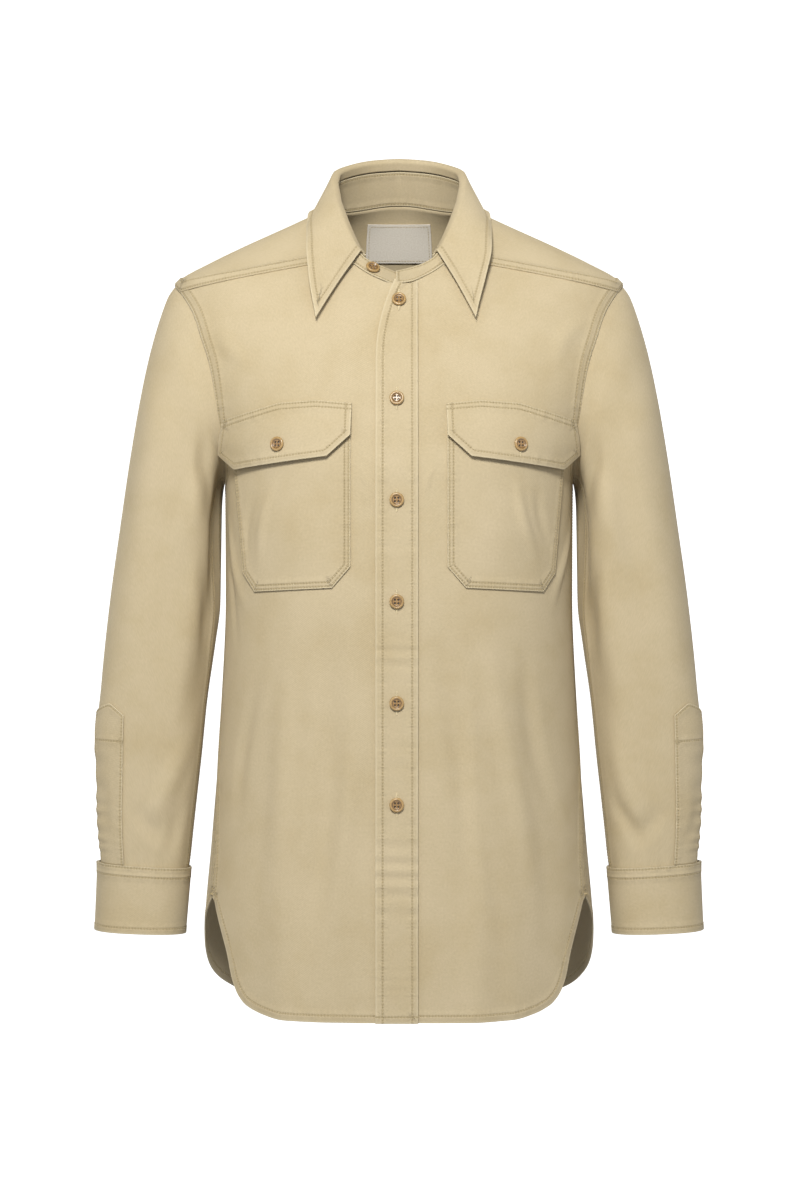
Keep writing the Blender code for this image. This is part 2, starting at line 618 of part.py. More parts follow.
def fall_grid(turns, shares):
    """The collar fall's middle surface: up from the stand, over the roll and down to the edge."""
    degrees = np.degrees(turns)
    folded = np.where(degrees > 180, 360 - degrees, degrees)
    mirror = np.where(degrees > 180, -1.0, 1.0)
    roll_height, roll_width, edge_x, edge_y, edge_z = np.moveaxis(smooth_columns(FALL_SECTIONS, folded), -1, 0)
    edge_x = edge_x - np.where(mirror > 0, LEFT_TIP_IN, 0) * bump((folded - COLLAR_TURNS[0]) / 30)
    edge = np.stack([edge_x * mirror, edge_y, edge_z], -1)
    one = np.ones_like(turns)
    top = stand_point(turns, one)
    low = stand_point(turns, 0.8 * one)
    up = (top - low) / np.linalg.norm(top - low, axis=-1, keepdims=True)
    away = stand_point(turns, one, one) - stand_point(turns, one, 0 * one)
    half = roll_width / 2
    foot = top + up * FALL_SEAT
    rows = []
    for share in shares:
        if share <= 0.2:
            rows.append(foot + up * (roll_height * share / 0.2)[:, None] * 0.75)
        elif share <= 0.45:
            angle = math.pi * (share - 0.2) / 0.25
            rise = 0.75 + 0.25 * math.sin(angle)
            reach = half * (1 - math.cos(angle))
            rows.append(foot + up * (roll_height * rise)[:, None] + away * reach[:, None])
        else:
            t = (share - 0.45) / 0.55
            start = foot + up * (roll_height * 0.75)[:, None] + away * roll_width[:, None]
            bow = FALL_BOW * math.sin(math.pi * t)
            rows.append(start * (1 - t) + edge * t + away * bow)
    points = np.stack(rows)
    skirt = shares > 0.45
    points[skirt] = lift(points[skirt], FALL_LIFT)
    return points


def build_fall(material):
    turns = np.radians(np.array(COLLAR_TURNS))
    turns = np.concatenate([turns, (2 * np.pi - turns)[-2::-1]])
    shares = np.array([0, 0.2, 0.28, 0.37, 0.45, 0.55, 0.65, 0.75, 0.85, 0.93, 1.0])
    middle = fall_grid(turns, shares)
    half = normals(middle)
    facing = stand_point(turns, 1 + 0 * turns, 1 + 0 * turns) - stand_point(turns, 1 + 0 * turns)
    half[0] = facing * np.sign(np.sum(facing * half[0], -1, keepdims=True))
    half *= FALL_CLOTH / 2
    return add_wall("collar_fall", middle + half, middle - half, material)


def build_band(material):
    """The front band, laid over both fronts from the neckline to the hem."""
    rows = 40
    share = np.linspace(0, 1, rows + 1)
    x = np.linspace(BAND_EDGE, BAND_SEAM, 5)
    hem = smooth_columns(FRONT_HEM, 0.0)[0] - BAND_HEM_DROP
    neck = neckline(np.arctan2(x, NECK_FRONT))[:, 1] - BAND_NECK_DROP
    height = hem + (neck[None] - hem) * share[:, None]
    near_top = np.clip((height - BAND_TURN_START) / (neck.max() - BAND_TURN_START), 0, 1) ** 2
    edge_share = (BAND_SEAM - x[None]) / (BAND_SEAM - BAND_EDGE)
    shifted = x[None] + BAND_TOP_TURN * near_top * edge_share
    turn = front_turn(shifted, height)
    outer, inner = (form_point(turn, height, out + 0 * turn) for out in (LAID_GAP + DOUBLE_CLOTH, LAID_GAP))
    return add_wall("front_band", outer, inner, material)


def patch_on_front(side, left, right, rows, columns, out):
    """A grid on the front between two edges, given as (distance from the centre, height) points."""
    def along(edge, steps):
        length = np.concatenate([[0], np.cumsum(np.linalg.norm(np.diff(edge, axis=0), axis=1))])
        spots = np.union1d(length / length[-1], np.linspace(0, 1, steps + 1))
        return spots, lambda s: np.stack([np.interp(s * length[-1], length, edge[:, i]) for i in (0, 1)], -1)

    spots_left, at_left = along(left, rows)
    spots_right, at_right = along(right, rows)
    spots = np.unique(np.round(np.union1d(spots_left, spots_right), 3))
    share = np.linspace(0, 1, columns + 1)[None, :, None]
    flat = at_left(spots)[:, None] * (1 - share) + at_right(spots)[:, None] * share
    turn = side * front_turn(flat[..., 0], flat[..., 1])
    return [form_point(turn, flat[..., 1], distance + 0 * turn) for distance in out]


def build_pocket(side, label, material):
    """A patch pocket with chamfered lower corners."""
    inner, bottom = POCKET_OUTLINE[:3], POCKET_OUTLINE[3:][::-1]
    low, high = patch_on_front(side, inner, bottom, POCKET_ROWS, 9, (LAID_GAP, LAID_GAP + CLOTH))
    return add_wall("pocket_" + label, high, low, material)


def flap_out(share):
    """How far the flap's under side lies out from the front, from its sewn top edge to its free edge."""
    return FLAP_SEAT + FLAP_RISE * share**FLAP_RISE_POWER


def flap_face(side, x, height):
    """Point of the flap's outer face at a distance from the centre and a height."""
    top, low = (np.interp(x, edge[:, 0], edge[:, 1]) for edge in (FLAP_TOP, FLAP_BOTTOM))
    out = flap_out((top - height) / (top - low)) + CLOTH
    return form_point(side * front_turn(x, height), height, out)


def build_flap(side, label, material):
    """The pocket flap: its top edge is sewn down, and its free edge stands a little proud."""
    share = np.linspace(0, 1, 5)[:, None, None]
    spots = np.linspace(0, 1, 10)

    def spread(edge, stops):
        at = np.interp(spots, np.linspace(0, 1, len(stops)), stops)
        return np.stack([np.interp(at, np.arange(len(edge)), edge[:, i]) for i in (0, 1)], -1)

    top = spread(FLAP_TOP, (0, 0.6, 1.2, 2.0, 2.6, 3))
    low = spread(FLAP_BOTTOM, (0, 1, 1.4, 1.7, 2, 3))
    flat = top[None] * (1 - share) + low[None] * share
    turn = side * front_turn(flat[..., 0], flat[..., 1])
    out = flap_out(share[..., 0]) + 0 * turn
    outer, inner = (form_point(turn, flat[..., 1], out + deep) for deep in (CLOTH, 0))
    return add_wall("flap_" + label, outer, inner, material)


def build_label(material):
    """A bare woven label inside the back of the yoke."""
    width = np.linspace(-LABEL_WIDTH / 2, LABEL_WIDTH / 2, 9)
    height = np.linspace(LABEL_BOTTOM, LABEL_TOP, 5)
    _, _, back, _ = torso(height)
    turn = np.pi - np.arctan2(width[None], back[:, None])
    near = CLOTH + 2 * LAID_GAP
    height = height[:, None] + 0 * turn
    outer, inner = (form_point(turn, height, 0 * turn - out) for out in (near, near + LABEL_CLOTH_WALL))
    return add_wall("neck_label", outer, inner, material)


def add_button(name, place, normal, material):
    """A four-hole button's blank, turned: a sunk middle inside a raised rim, facing along a normal."""
    rings = ((0.0, 0.0), (1.0, 0.0), (1.0, 0.62), (0.86, 1.0), (0.70, 0.92), (0.56, 0.60), (0.0, 0.56))
    steps = 12
    points = []
    for reach, level in rings:
        count = 1 if reach == 0 else steps
        for k in range(count):
            angle = 2 * math.pi * k / steps
            points.append((
                BUTTON_RADIUS * reach * math.cos(angle),
                BUTTON_RADIUS * reach * math.sin(angle),
                BUTTON_THICKNESS * level,
            ))
    faces = []
    first = 1
    last = len(points) - 1
    for k in range(steps):
        nxt = (k + 1) % steps
        faces.append((0, first + nxt, first + k))
        for ring in range(len(rings) - 3):
            low, high = first + ring * steps, first + (ring + 1) * steps
            faces.append((low + k, low + nxt, high + nxt, high + k))
        rim = first + (len(rings) - 3) * steps
        faces.append((rim + k, rim + nxt, last))
    mesh = bpy.data.meshes.new(name)
    mesh.from_pydata(points, [], faces)
    mesh.shade_smooth()
    mesh.set_sharp_from_angle(angle=math.radians(50))
    mesh.materials.append(material)
    button = bpy.data.objects.new(name, mesh)
    bpy.context.scene.collection.objects.link(button)
    facing = Vector(normal).normalized()
    button.matrix_world = Matrix.Translation(Vector(place) + facing * SEAM_GAP) @ facing.to_track_quat(
        "Z", "Y"
    ).to_matrix().to_4x4()
    return button


def build_buttons(material):
    band_out = LAID_GAP + DOUBLE_CLOTH
    for k in range(6):
        height = TOP_BUTTON_HEIGHT - BUTTON_SPACING * k
        x = 0.0 if k == 0 else FRONT_BUTTON_X
        turn = front_turn(x, height)
        face = form_point(turn, height, band_out + SEAM_GAP / 2)
        add_button(f"front_button_{k + 1}", face, form_point(turn, height, 1.0) - face, material)
    for side, label in ((1, "left"), (-1, "right")):
        x, height, step = FLAP_BUTTON_X, FLAP_BUTTON_HEIGHT, BUTTON_RADIUS
        along = flap_face(side, x + step, height) - flap_face(side, x - step, height)
        up = flap_face(side, x, height + step) - flap_face(side, x, height - step)
        add_button("flap_button_" + label, flap_face(side, x, height), side * np.cross(along, up), material)
        face = sleeve_point(CUFF_BUTTON_ROW, CUFF_BUTTON_ANGLE, CUFF_PROUD + DOUBLE_CLOTH + 3 * SEAM_GAP)
        normal = sleeve_point(CUFF_BUTTON_ROW, CUFF_BUTTON_ANGLE, 1.0) - face
        mirror = np.array([side, 1, 1])
        add_button("cuff_button_" + label, face * mirror, normal * mirror, material)
    degrees = np.array([360.0 + STAND_BUTTON_TURN])
    turn, half = np.radians(degrees), np.array([0.5])
    face = stand_point(turn, half, stand_out(degrees) + 1.5 * SEAM_GAP)[0]
    along = stand_point(turn + 0.08, half)[0] - stand_point(turn - 0.08, half)[0]
    up = stand_point(turn, half + 0.1)[0] - stand_point(turn, half - 0.1)[0]
    add_button("stand_button", face, np.cross(along, up), material)


def main():
    clear_scene()
    khaki = make_material("Khaki cotton twill", KHAKI, 0.85)
    build_front("front_left", 1, LEFT_FRONT_EDGE, khaki)
    build_front("front_right", -1, -RIGHT_FRONT_EDGE, khaki)
    build_back(khaki)
    build_yoke(khaki)
    for side, label in ((1, "left"), (-1, "right")):
        build_sleeve(side, label, khaki)
        build_cuff(side, label, khaki)
        build_gauntlet(side, label, khaki)
        build_pocket(side, label, khaki)
        build_flap(side, label, khaki)
    build_stand(khaki)
    build_fall(khaki)
    build_band(khaki)
    build_label(make_material("Woven cotton label", LABEL_CLOTH, 0.9))
    build_buttons(make_material("Horn-look polyester", HORN, 0.4))


main()
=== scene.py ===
"""Looks of a long-sleeved khaki twill overshirt, filled out as if worn. Metres, +Z up, the front faces -Y and
the wearer's left is +X.

Every piece of cloth is a sheet worked out from the same body form, sleeve and neck as its solid, on a finer
grid that is closest at its edges. On it lie the soft creases, the raised felled seams and the turned hems,
and the sewing runs along its edges."""

import math

import bpy
import numpy as np
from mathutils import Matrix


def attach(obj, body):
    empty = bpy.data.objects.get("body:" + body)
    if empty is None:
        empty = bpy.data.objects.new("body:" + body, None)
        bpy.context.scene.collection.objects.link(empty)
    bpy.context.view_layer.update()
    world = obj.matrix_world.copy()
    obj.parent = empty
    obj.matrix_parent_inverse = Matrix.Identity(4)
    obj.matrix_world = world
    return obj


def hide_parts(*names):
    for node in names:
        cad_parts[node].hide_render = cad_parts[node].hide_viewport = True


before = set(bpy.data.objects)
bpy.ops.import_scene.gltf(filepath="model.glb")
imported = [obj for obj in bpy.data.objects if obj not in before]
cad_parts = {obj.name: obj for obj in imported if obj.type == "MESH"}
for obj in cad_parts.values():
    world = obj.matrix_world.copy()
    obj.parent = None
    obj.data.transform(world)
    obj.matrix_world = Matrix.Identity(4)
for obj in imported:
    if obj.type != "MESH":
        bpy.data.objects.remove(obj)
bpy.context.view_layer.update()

# Cloth and seams
CLOTH = 0.0012
DOUBLE_CLOTH = 0.0020
FALL_CLOTH = 0.0020
FLAP_CLOTH = 0.0016
SEAM_GAP = 0.0004
LAID_GAP = 0.0007
GRID_STEP = 0.0031
EDGE_STEPS = (0, 0.0005, 0.0014, 0.0026, 0.0042, 0.0058, 0.0070, 0.0080, 0.0092, 0.0106, 0.0124)
SEAM_LAP = 0.0010
YOKE_RISE = 0.0012
FELL_RISE = 0.0007
HEM_RISE = 0.0004
FOLD_RISE = 0.0003
FELL_WIDTH = 0.0092
FELL_ROW = 0.0084
SEAM_ROW = 0.0018
HEM_ROW = 0.0066
FALL_ROW = 0.0054
CUFF_TOP_ROW = 0.0058
CUFF_FELL_ROW = 0.0098
FLAP_ROW = 0.0054
BAND_LEFT_ROW = 0.0068
BAND_RIGHT_ROW = 0.0054
WHOLE = (0, 1)
THREAD_PITCH = 0.0029
THREAD_LENGTH = 0.0021
THREAD_WIDTH = 0.0006

# Body form: height, half width, depth to the centre front, depth to the centre back and squareness. Depths
# run from the shoulder plane.
TORSO_SECTIONS = np.array([
    (0.0330, 0.0160, 0.010, 0.058, 2.20),
    (0.0150, 0.0500, 0.018, 0.0745, 2.20),
    (0.0050, 0.0670, 0.024, 0.081, 2.25),
    (-0.0113, 0.1010, 0.032, 0.0885, 2.30),
    (-0.0346, 0.1520, 0.0435, 0.098, 2.40),
    (-0.0501, 0.1835, 0.0525, 0.105, 2.45),
    (-0.0656, 0.2110, 0.063, 0.110, 2.50),
    (-0.0714, 0.2160, 0.0665, 0.1125, 2.50),
    (-0.1172, 0.2145, 0.088, 0.123, 2.60),
    (-0.1547, 0.2040, 0.102, 0.129, 2.65),
    (-0.1900, 0.1930, 0.112, 0.132, 2.60),
    (-0.2250, 0.1790, 0.119, 0.133, 2.55),
    (-0.2620, 0.1675, 0.124, 0.132, 2.50),
    (-0.3760, 0.1668, 0.1265, 0.127, 2.40),
    (-0.4536, 0.1698, 0.1250, 0.123, 2.35),
    (-0.5312, 0.1751, 0.1240, 0.122, 2.30),
    (-0.6088, 0.1814, 0.1245, 0.124, 2.30),
    (-0.6900, 0.1880, 0.1260, 0.128, 2.30),
    (-0.8100, 0.1905, 0.1280, 0.133, 2.30),
])

# Folds of the skirt, troughs or ridges that grow towards the hem: turn, half turn, start height and depth
SKIRT_FOLDS = (
    (-44, 11, -0.42, 0.0030),
    (-24, 9, -0.50, -0.0020),
    (31, 10, -0.45, 0.0028),
    (55, 12, -0.40, -0.0022),
    (-70, 9, -0.48, 0.0018),
    (118, 14, -0.42, 0.0035),
    (143, 11, -0.50, -0.0030),
    (172, 12, -0.45, 0.0030),
    (212, 13, -0.40, -0.0028),
    (238, 11, -0.46, 0.0034),
)
FOLD_REACH = 0.26

# Armhole: it runs from the shoulder point down to the underarm
SHOULDER_HEIGHT = -0.0714
UNDERARM_HEIGHT = -0.262
ARMHOLE_FRONT = 0.066
ARMHOLE_BACK = 0.076
ARMHOLE_SKEW = 0.12
YOKE_FRONT_ANGLE = 24
YOKE_BACK_ANGLE = -40

# Neckline, centre front to centre back
NECK_HALF_WIDTH = 0.074
NECK_FRONT = 0.069
NECK_BACK = 0.0745
YOKE_NECK_TURN = 44.0
YOKE_BACK_HEIGHT = -0.102

# Side seams swing to the front below the waist and end in vents
VENT_HEIGHT = -0.6585
VENT_TURN = 75.5
SEAM_SWING_START = -0.42

# Hems: distance from the centre and height of the front's edge, turn and height of the back's
FRONT_HEM = np.array([
    (0.000, -0.7690), (0.060, -0.7695), (0.105, -0.7685), (0.128, -0.7640), (0.143, -0.7575),
    (0.1510, -0.7490), (0.1570, -0.7350), (0.1625, -0.7080), (0.1700, -0.6810), (0.1763, -0.6585),
])
BACK_HEM = np.array([
    (180.0, -0.7980), (158.0, -0.7955), (141.0, -0.7870), (128.0, -0.7755), (117.0, -0.7625),
    (109.0, -0.7510), (101.0, -0.7350), (94.0, -0.7150), (87.0, -0.6900), (75.5, -0.6585),
])

# Front band, lapping over the wearer's right front
BAND_EDGE = -0.0219
BAND_SEAM = 0.0177
LEFT_FRONT_EDGE = 0.0160
RIGHT_FRONT_EDGE = 0.0152
BAND_TOP_TURN = 0.0180
BAND_TURN_START = -0.150
BAND_NECK_DROP = 0.0016
BAND_HEM_DROP = 0.0005

# Sleeve, from the armhole to the cuff hem: x and z of the outer side, x and z of the inner side, y of the
# centre, half depth and squareness
SLEEVE_SECTIONS = np.array([
    (0.2160, -0.0714, 0.1675, -0.2620, 0.0050, 0.0710, 2.1),
    (0.2230, -0.0810, 0.1698, -0.2640, 0.0050, 0.0715, 2.1),
    (0.2318, -0.1044, 0.1712, -0.2700, 0.0040, 0.0715, 2.2),
    (0.2425, -0.1432, 0.1722, -0.2850, 0.0030, 0.0700, 2.3),
    (0.2503, -0.1820, 0.1726, -0.3080, 0.0015, 0.0685, 2.5),
    (0.2600, -0.2402, 0.1730, -0.3430, 0.0000, 0.0655, 2.6),
    (0.2693, -0.3050, 0.1738, -0.3800, -0.0020, 0.0610, 2.7),
    (0.2790, -0.3760, 0.1788, -0.4200, -0.0045, 0.0560, 2.7),
    (0.2871, -0.4536, 0.1862, -0.4730, -0.0075, 0.0500, 2.6),
    (0.2914, -0.5210, 0.1912, -0.5240, -0.0100, 0.0445, 2.5),
    (0.2914, -0.5700, 0.1965, -0.5720, -0.0115, 0.0410, 2.5),
    (0.2897, -0.6010, 0.2000, -0.6050, -0.0125, 0.0385, 2.5),
    (0.2878, -0.6285, 0.2026, -0.6340, -0.0135, 0.0360, 2.4),
    (0.2888, -0.6610, 0.2052, -0.6650, -0.0145, 0.0345, 2.3),
    (0.2902, -0.6935, 0.2078, -0.6965, -0.0155, 0.0340, 2.3),
])
LAST_RING = len(SLEEVE_SECTIONS) - 1
ARMHOLE_FADE = 4.5

# Folds of the sleeve: row and its reach, angle and its reach, slant and depth
SLEEVE_FOLDS = (
    (3.2, 1.6, 128, 22, 10, 0.0055),
    (4.6, 1.8, 112, 16, -8, -0.0035),
    (6.2, 1.5, 140, 20, 12, 0.0040),
    (3.4, 1.5, -128, 24, -12, 0.0060),
    (5.4, 1.6, -105, 20, 12, -0.0040),
    (7.6, 1.2, -60, 26, 14, 0.0035),
    (8.6, 1.0, 30, 30, -16, -0.0025),
    (10.6, 0.8, 100, 26, 18, 0.0025),
    (11.0, 0.7, -40, 30, -16, -0.0025),
)

# Cuff overlap and gauntlet placket
CUFF_OUTER_END = -52
CUFF_INNER_END = 340
CUFF_LAP_START = 22
CUFF_BUTTON_ANGLE = -38
CUFF_BUTTON_ROW = 13.1
GAUNTLET_ANGLES = (63, 55, 47, 35, 22)
GAUNTLET_TOP_ROWS = (8.41, 8.33, 8.26, 8.33, 8.41)
GAUNTLET_END_ROW = 11.95

# Collar stand: turn round the neck, and x, y and z of the top edge
STAND_SECTIONS = np.array([
    (-12, -0.0105, -0.0440, -0.0630), (0, -0.0010, -0.0470, -0.0620), (12, 0.0170, -0.0505, -0.0575),
    (24, 0.0320, -0.0520, -0.0495), (38, 0.0425, -0.0455, -0.0330), (55, 0.0525, -0.0330, -0.0120),
    (72, 0.0600, -0.0160, 0.0060), (90, 0.0630, 0.0020, 0.0195), (112, 0.0600, 0.0230, 0.0312),
    (135, 0.0465, 0.0430, 0.0395), (158, 0.0250, 0.0575, 0.0455), (180, 0.0000, 0.0630, 0.0480),
])
# Collar fall: turn, height and width of the roll, and x, y and z of the free edge
FALL_SECTIONS = np.array([
    (24, 0.0030, 0.0075, 0.0785, -0.0900, -0.1105),
    (38, 0.0045, 0.0075, 0.0855, -0.0740, -0.0700),
    (55, 0.0055, 0.0075, 0.0880, -0.0560, -0.0400),
    (72, 0.0065, 0.0072, 0.0880, -0.0330, -0.0190),
    (90, 0.0075, 0.0070, 0.0840, -0.0050, -0.0050),
    (112, 0.0085, 0.0070, 0.0755, 0.0300, -0.0010),
    (135, 0.0095, 0.0072, 0.0570, 0.0610, 0.0010),
    (158, 0.0100, 0.0075, 0.0300, 0.0800, 0.0020),
    (180, 0.0100, 0.0075, 0.0000, 0.0860, 0.0025),
])
FALL_START = 24
STAND_RIGHT_END = 371
STAND_LEFT_END = -2
STAND_LAP = 0.0032
FALL_SEAT = 0.0013
STAND_SEAT = 0.0007
STAND_SEAT_FRONT = 0.0010
FALL_LIFT = 0.0036
FALL_BOW = 0.0015
LEFT_TIP_IN = 0.006

# Pocket and flap outlines as seen from the front, distances from the centre and heights
POCKET_OUTLINE = np.array([
    (0.0450, -0.2100), (0.0450, -0.3450), (0.0622, -0.3648), (0.1350, -0.3682), (0.1465, -0.3505),
    (0.1568, -0.2370), (0.1568, -0.2250),
])
FLAP_TOP = np.array([(0.0440, -0.1928), (0.0770, -0.1896), (0.1120, -0.1915), (0.1660, -0.2060)])
FLAP_BOTTOM = np.array([(0.0448, -0.2230), (0.0665, -0.2428), (0.1504, -0.2517), (0.1664, -0.2357)])
FLAP_SEAT = 0.0007
FLAP_RISE = 0.0048
FLAP_RISE_POWER = 0.8

# Buttons
BUTTON_RADIUS = 0.0068
BUTTON_THICKNESS = 0.0028
FRONT_BUTTON_X = -0.0021
TOP_BUTTON_HEIGHT = -0.0940
BUTTON_SPACING = 0.0945
FLAP_BUTTON_X = 0.1114
FLAP_BUTTON_HEIGHT = -0.2303
STAND_BUTTON_TURN = -19

# Neck label
LABEL_WIDTH = 0.067
LABEL_TOP = -0.0010
LABEL_BOTTOM = -0.0380
LABEL_CLOTH_WALL = 0.0010

# Creases of the body: from one (turn, height) to another, with half their width and their height in mm.
# A ridge is positive and a trough negative.
BODY_CREASES = (
    # wearer's right front
    (-25, -0.340, -41, -0.790, 21, -2.2),
    (-38, -0.385, -54, -0.700, 17, 1.4),
    (-16, -0.430, -25, -0.760, 17, 1.0),
    (-55, -0.420, -66, -0.600, 12, -1.4),
    (-48, -0.255, -57, -0.355, 8, 1.3),
    (-56, -0.262, -62, -0.345, 8, -1.0),
    (-17, -0.248, -10, -0.282, 4, 0.6),
    (-16, -0.266, -11, -0.290, 4, 0.5),
    (-72, -0.100, -58, -0.165, 9, 0.8),
    (-80, -0.285, -60, -0.395, 9, 1.2),
    (-82, -0.310, -64, -0.430, 9, -1.1),
    # wearer's left front
    (16, -0.350, 30, -0.700, 20, -1.6),
    (36, -0.360, 54, -0.740, 17, 1.6),
    (49, -0.400, 62, -0.620, 15, -1.8),
    (26, -0.430, 38, -0.720, 12, 0.9),
    (45, -0.252, 55, -0.352, 8, 1.4),
    (53, -0.258, 61, -0.340, 8, -1.1),
    (16, -0.245, 10, -0.285, 4, 0.6),
    (73, -0.100, 59, -0.160, 9, 0.8),
    (80, -0.285, 61, -0.400, 9, 1.2),
    # below the stand, under the lapped end of the band
    (-13, -0.093, 17, -0.071, 5, -1.0),
    (-8, -0.102, 18, -0.080, 4, 0.6),
    (-34, -0.060, -16, -0.092, 5, -0.6),
    # back
    (148, -0.215, 132, -0.470, 13, -2.0),
    (160, -0.280, 152, -0.620, 15, 1.7),
    (172, -0.340, 168, -0.740, 14, -2.0),
    (118, -0.200, 138, -0.330, 10, 1.8),
    (112, -0.240, 134, -0.380, 10, -1.6),
    (128, -0.420, 122, -0.700, 14, 1.8),
    (208, -0.240, 224, -0.500, 13, -2.0),
    (196, -0.320, 206, -0.660, 15, 1.7),
    (186, -0.420, 190, -0.760, 13, 1.4),
    (241, -0.205, 222, -0.340, 10, 1.8),
    (247, -0.240, 226, -0.400, 10, -1.6),
    (232, -0.450, 240, -0.700, 14, 1.6),
    (100, -0.300, 108, -0.520, 11, -1.5),
    (262, -0.300, 252, -0.540, 11, -1.5),
)
CREASE_DEPTH = 2.0
TURN_METRES = 0.15 * math.pi / 180

# Creases of the wearer's left sleeve, as (angle, row) runs. The right sleeve has its own.
SLEEVE_CREASES = {
    "left": (
        (126, -1.0, 124, 9.8, 13, 0.9), (152, -1.5, 148, 10.4, 22, -4.0), (142, 7.6, 96, 11.4, 17, 1.3),
        (150, 9.4, 108, 11.9, 14, -1.2), (100, 2.0, 88, 7.8, 18, -0.5), (66, 2.6, 60, 9.6, 18, 0.5),
        (30, 9.4, 54, 11.6, 11, -0.6), (-120, 1.6, -96, 4.6, 15, -1.4), (-140, 2.6, -110, 5.6, 15, 1.3),
        (-80, 5.4, -60, 8.6, 16, -1.2), (-120, 6.4, -84, 8.8, 15, 1.4), (-150, 8.2, -104, 10.2, 14, -1.3),
        (-100, 9.6, -60, 11.4, 13, 1.1),
    ),
    "right": (
        (127, -1.0, 125, 9.4, 13, 1.0), (153, -1.5, 149, 10.2, 22, -4.0), (144, 7.8, 98, 11.5, 17, 1.4),
        (152, 9.6, 112, 11.9, 14, -1.2), (104, 2.4, 90, 8.2, 18, -0.5), (64, 2.2, 58, 8.8, 18, 0.5),
        (28, 9.2, 52, 11.4, 11, -0.6), (-118, 1.4, -98, 4.8, 15, -1.4), (-138, 2.8, -108, 5.4, 15, 1.3),
        (-84, 5.0, -58, 8.2, 16, -1.2), (-122, 6.8, -86, 9.0, 15, 1.4), (-148, 8.4, -106, 10.4, 14, -1.3),
        (-96, 9.4, -62, 11.5, 13, 1.1),
    ),
}
ANGLE_METRES = 0.05 * math.pi / 180
ROW_METRES = 0.045

# Ripples of the front band where its two layers were sewn: middle height, half height, pitch and depth
BAND_RIPPLES = (
    (-0.428, 0.028, 0.0150, 0.00045), (-0.632, 0.056, 0.0162, 0.00060), (-0.735, 0.032, 0.0080, 0.00022),
    (-0.520, 0.034, 0.0170, 0.00018), (-0.330, 0.030, 0.0140, 0.00014),
)

# Where a row of stitches crosses the gauntlet, as a row of the sleeve and a share of the gauntlet's length
GAUNTLET_CROSS_ROW = 8.78
GAUNTLET_CROSS_SHARE = 0.13

# The flat cut of each piece: width, length and area in metres, and square metres
CUTS = {
    "front_left": (0.270, 0.745, 0.145),
    "front_right": (0.300, 0.745, 0.168),
    "back": (0.540, 0.720, 0.335),
    "yoke": (0.490, 0.190, 0.082),
    "sleeve": (0.400, 0.560, 0.170),
    "cuff": (0.250, 0.068, None),
    "gauntlet": (0.030, 0.160, None),
    "stand": (0.430, 0.034, 0.0130),
    "fall": (0.440, 0.095, 0.029),
    "band": (0.041, 0.710, None),
    "pocket": (0.115, 0.165, None),
    "flap": (0.130, 0.060, None),
    "label": (0.067, 0.038, None),
}

# Colours, light and the view
KHAKI = "#B9AA8B"
KHAKI_DEEP = "#B4A483"
KHAKI_PALE = "#BDAE90"
# Darker khaki for the painted shade in the stitch grooves
KHAKI_GROOVE_SHADE = "#8F8060"
# Paler khaki for folded edges: their wear and a painted highlight
KHAKI_EDGE_WEAR_AND_HIGHLIGHT = "#CBBFA2"
BACKDROP_GLOW = 0.95
WORLD_LIGHT = 0.34
KEY_POWER = 82
SIDE_POWER = 7
CAMERA_DISTANCE = 3.0
CAMERA_HEIGHT = -0.376
PHOTO_ROWS = 1200
PIXEL = 0.00097


def smooth_columns(table, at):
    """The table's other columns at values of its first one, by cubic pieces that never overshoot a row."""
    rows = table[np.argsort(table[:, 0])]
    keys, values = rows[:, 0], rows[:, 1:]
    rise = np.diff(values, axis=0) / np.diff(keys)[:, None]
    before, after = rise[:-1], rise[1:]
    same = before * after > 0
    slope = np.zeros_like(values)
    slope[1:-1] = np.where(same, 2 * before * after / np.where(same, before + after, 1), 0)
    slope[0], slope[-1] = rise[0], rise[-1]
    at = np.clip(np.asarray(at, float), keys[0], keys[-1])
    row = np.clip(np.searchsorted(keys, at) - 1, 0, len(keys) - 2)
    span = (keys[row + 1] - keys[row])[..., None]
    t = (at - keys[row])[..., None] / span
    start = (2 * t**3 - 3 * t**2 + 1) * values[row] + (t**3 - 2 * t**2 + t) * span * slope[row]
    return start + (3 * t**2 - 2 * t**3) * values[row + 1] + (t**3 - t**2) * span * slope[row + 1]


def torso(height):
    """Half width, front depth, back depth and squareness of the body form at a height."""
    return np.moveaxis(smooth_columns(TORSO_SECTIONS, height), -1, 0)


def bump(distance):
    """A smooth hump: 1 at 0, falling to 0 at 1 and beyond."""
    near = np.clip(1 - np.abs(distance), 0, 1)
    return near * near * (3 - 2 * near)


def form_radius(turn, height):
    """Distance of the body form from its upright axis, with the skirt's folds."""
    half_width, front, back, square = torso(height)
    side, ahead = np.abs(np.sin(turn)), np.cos(turn)
    depth = np.where(ahead > 0, front, back)
    radius = ((side / half_width) ** square + (np.abs(ahead) / depth) ** square) ** (-1 / square)
    degrees = np.degrees(turn)
    for middle, half_turn, start, deep in SKIRT_FOLDS:
        away = (degrees - middle + 180) % 360 - 180
        growth = np.clip((start - height) / FOLD_REACH, 0, 1)
        radius = radius + deep * bump(away / half_turn) * growth * growth
    return radius


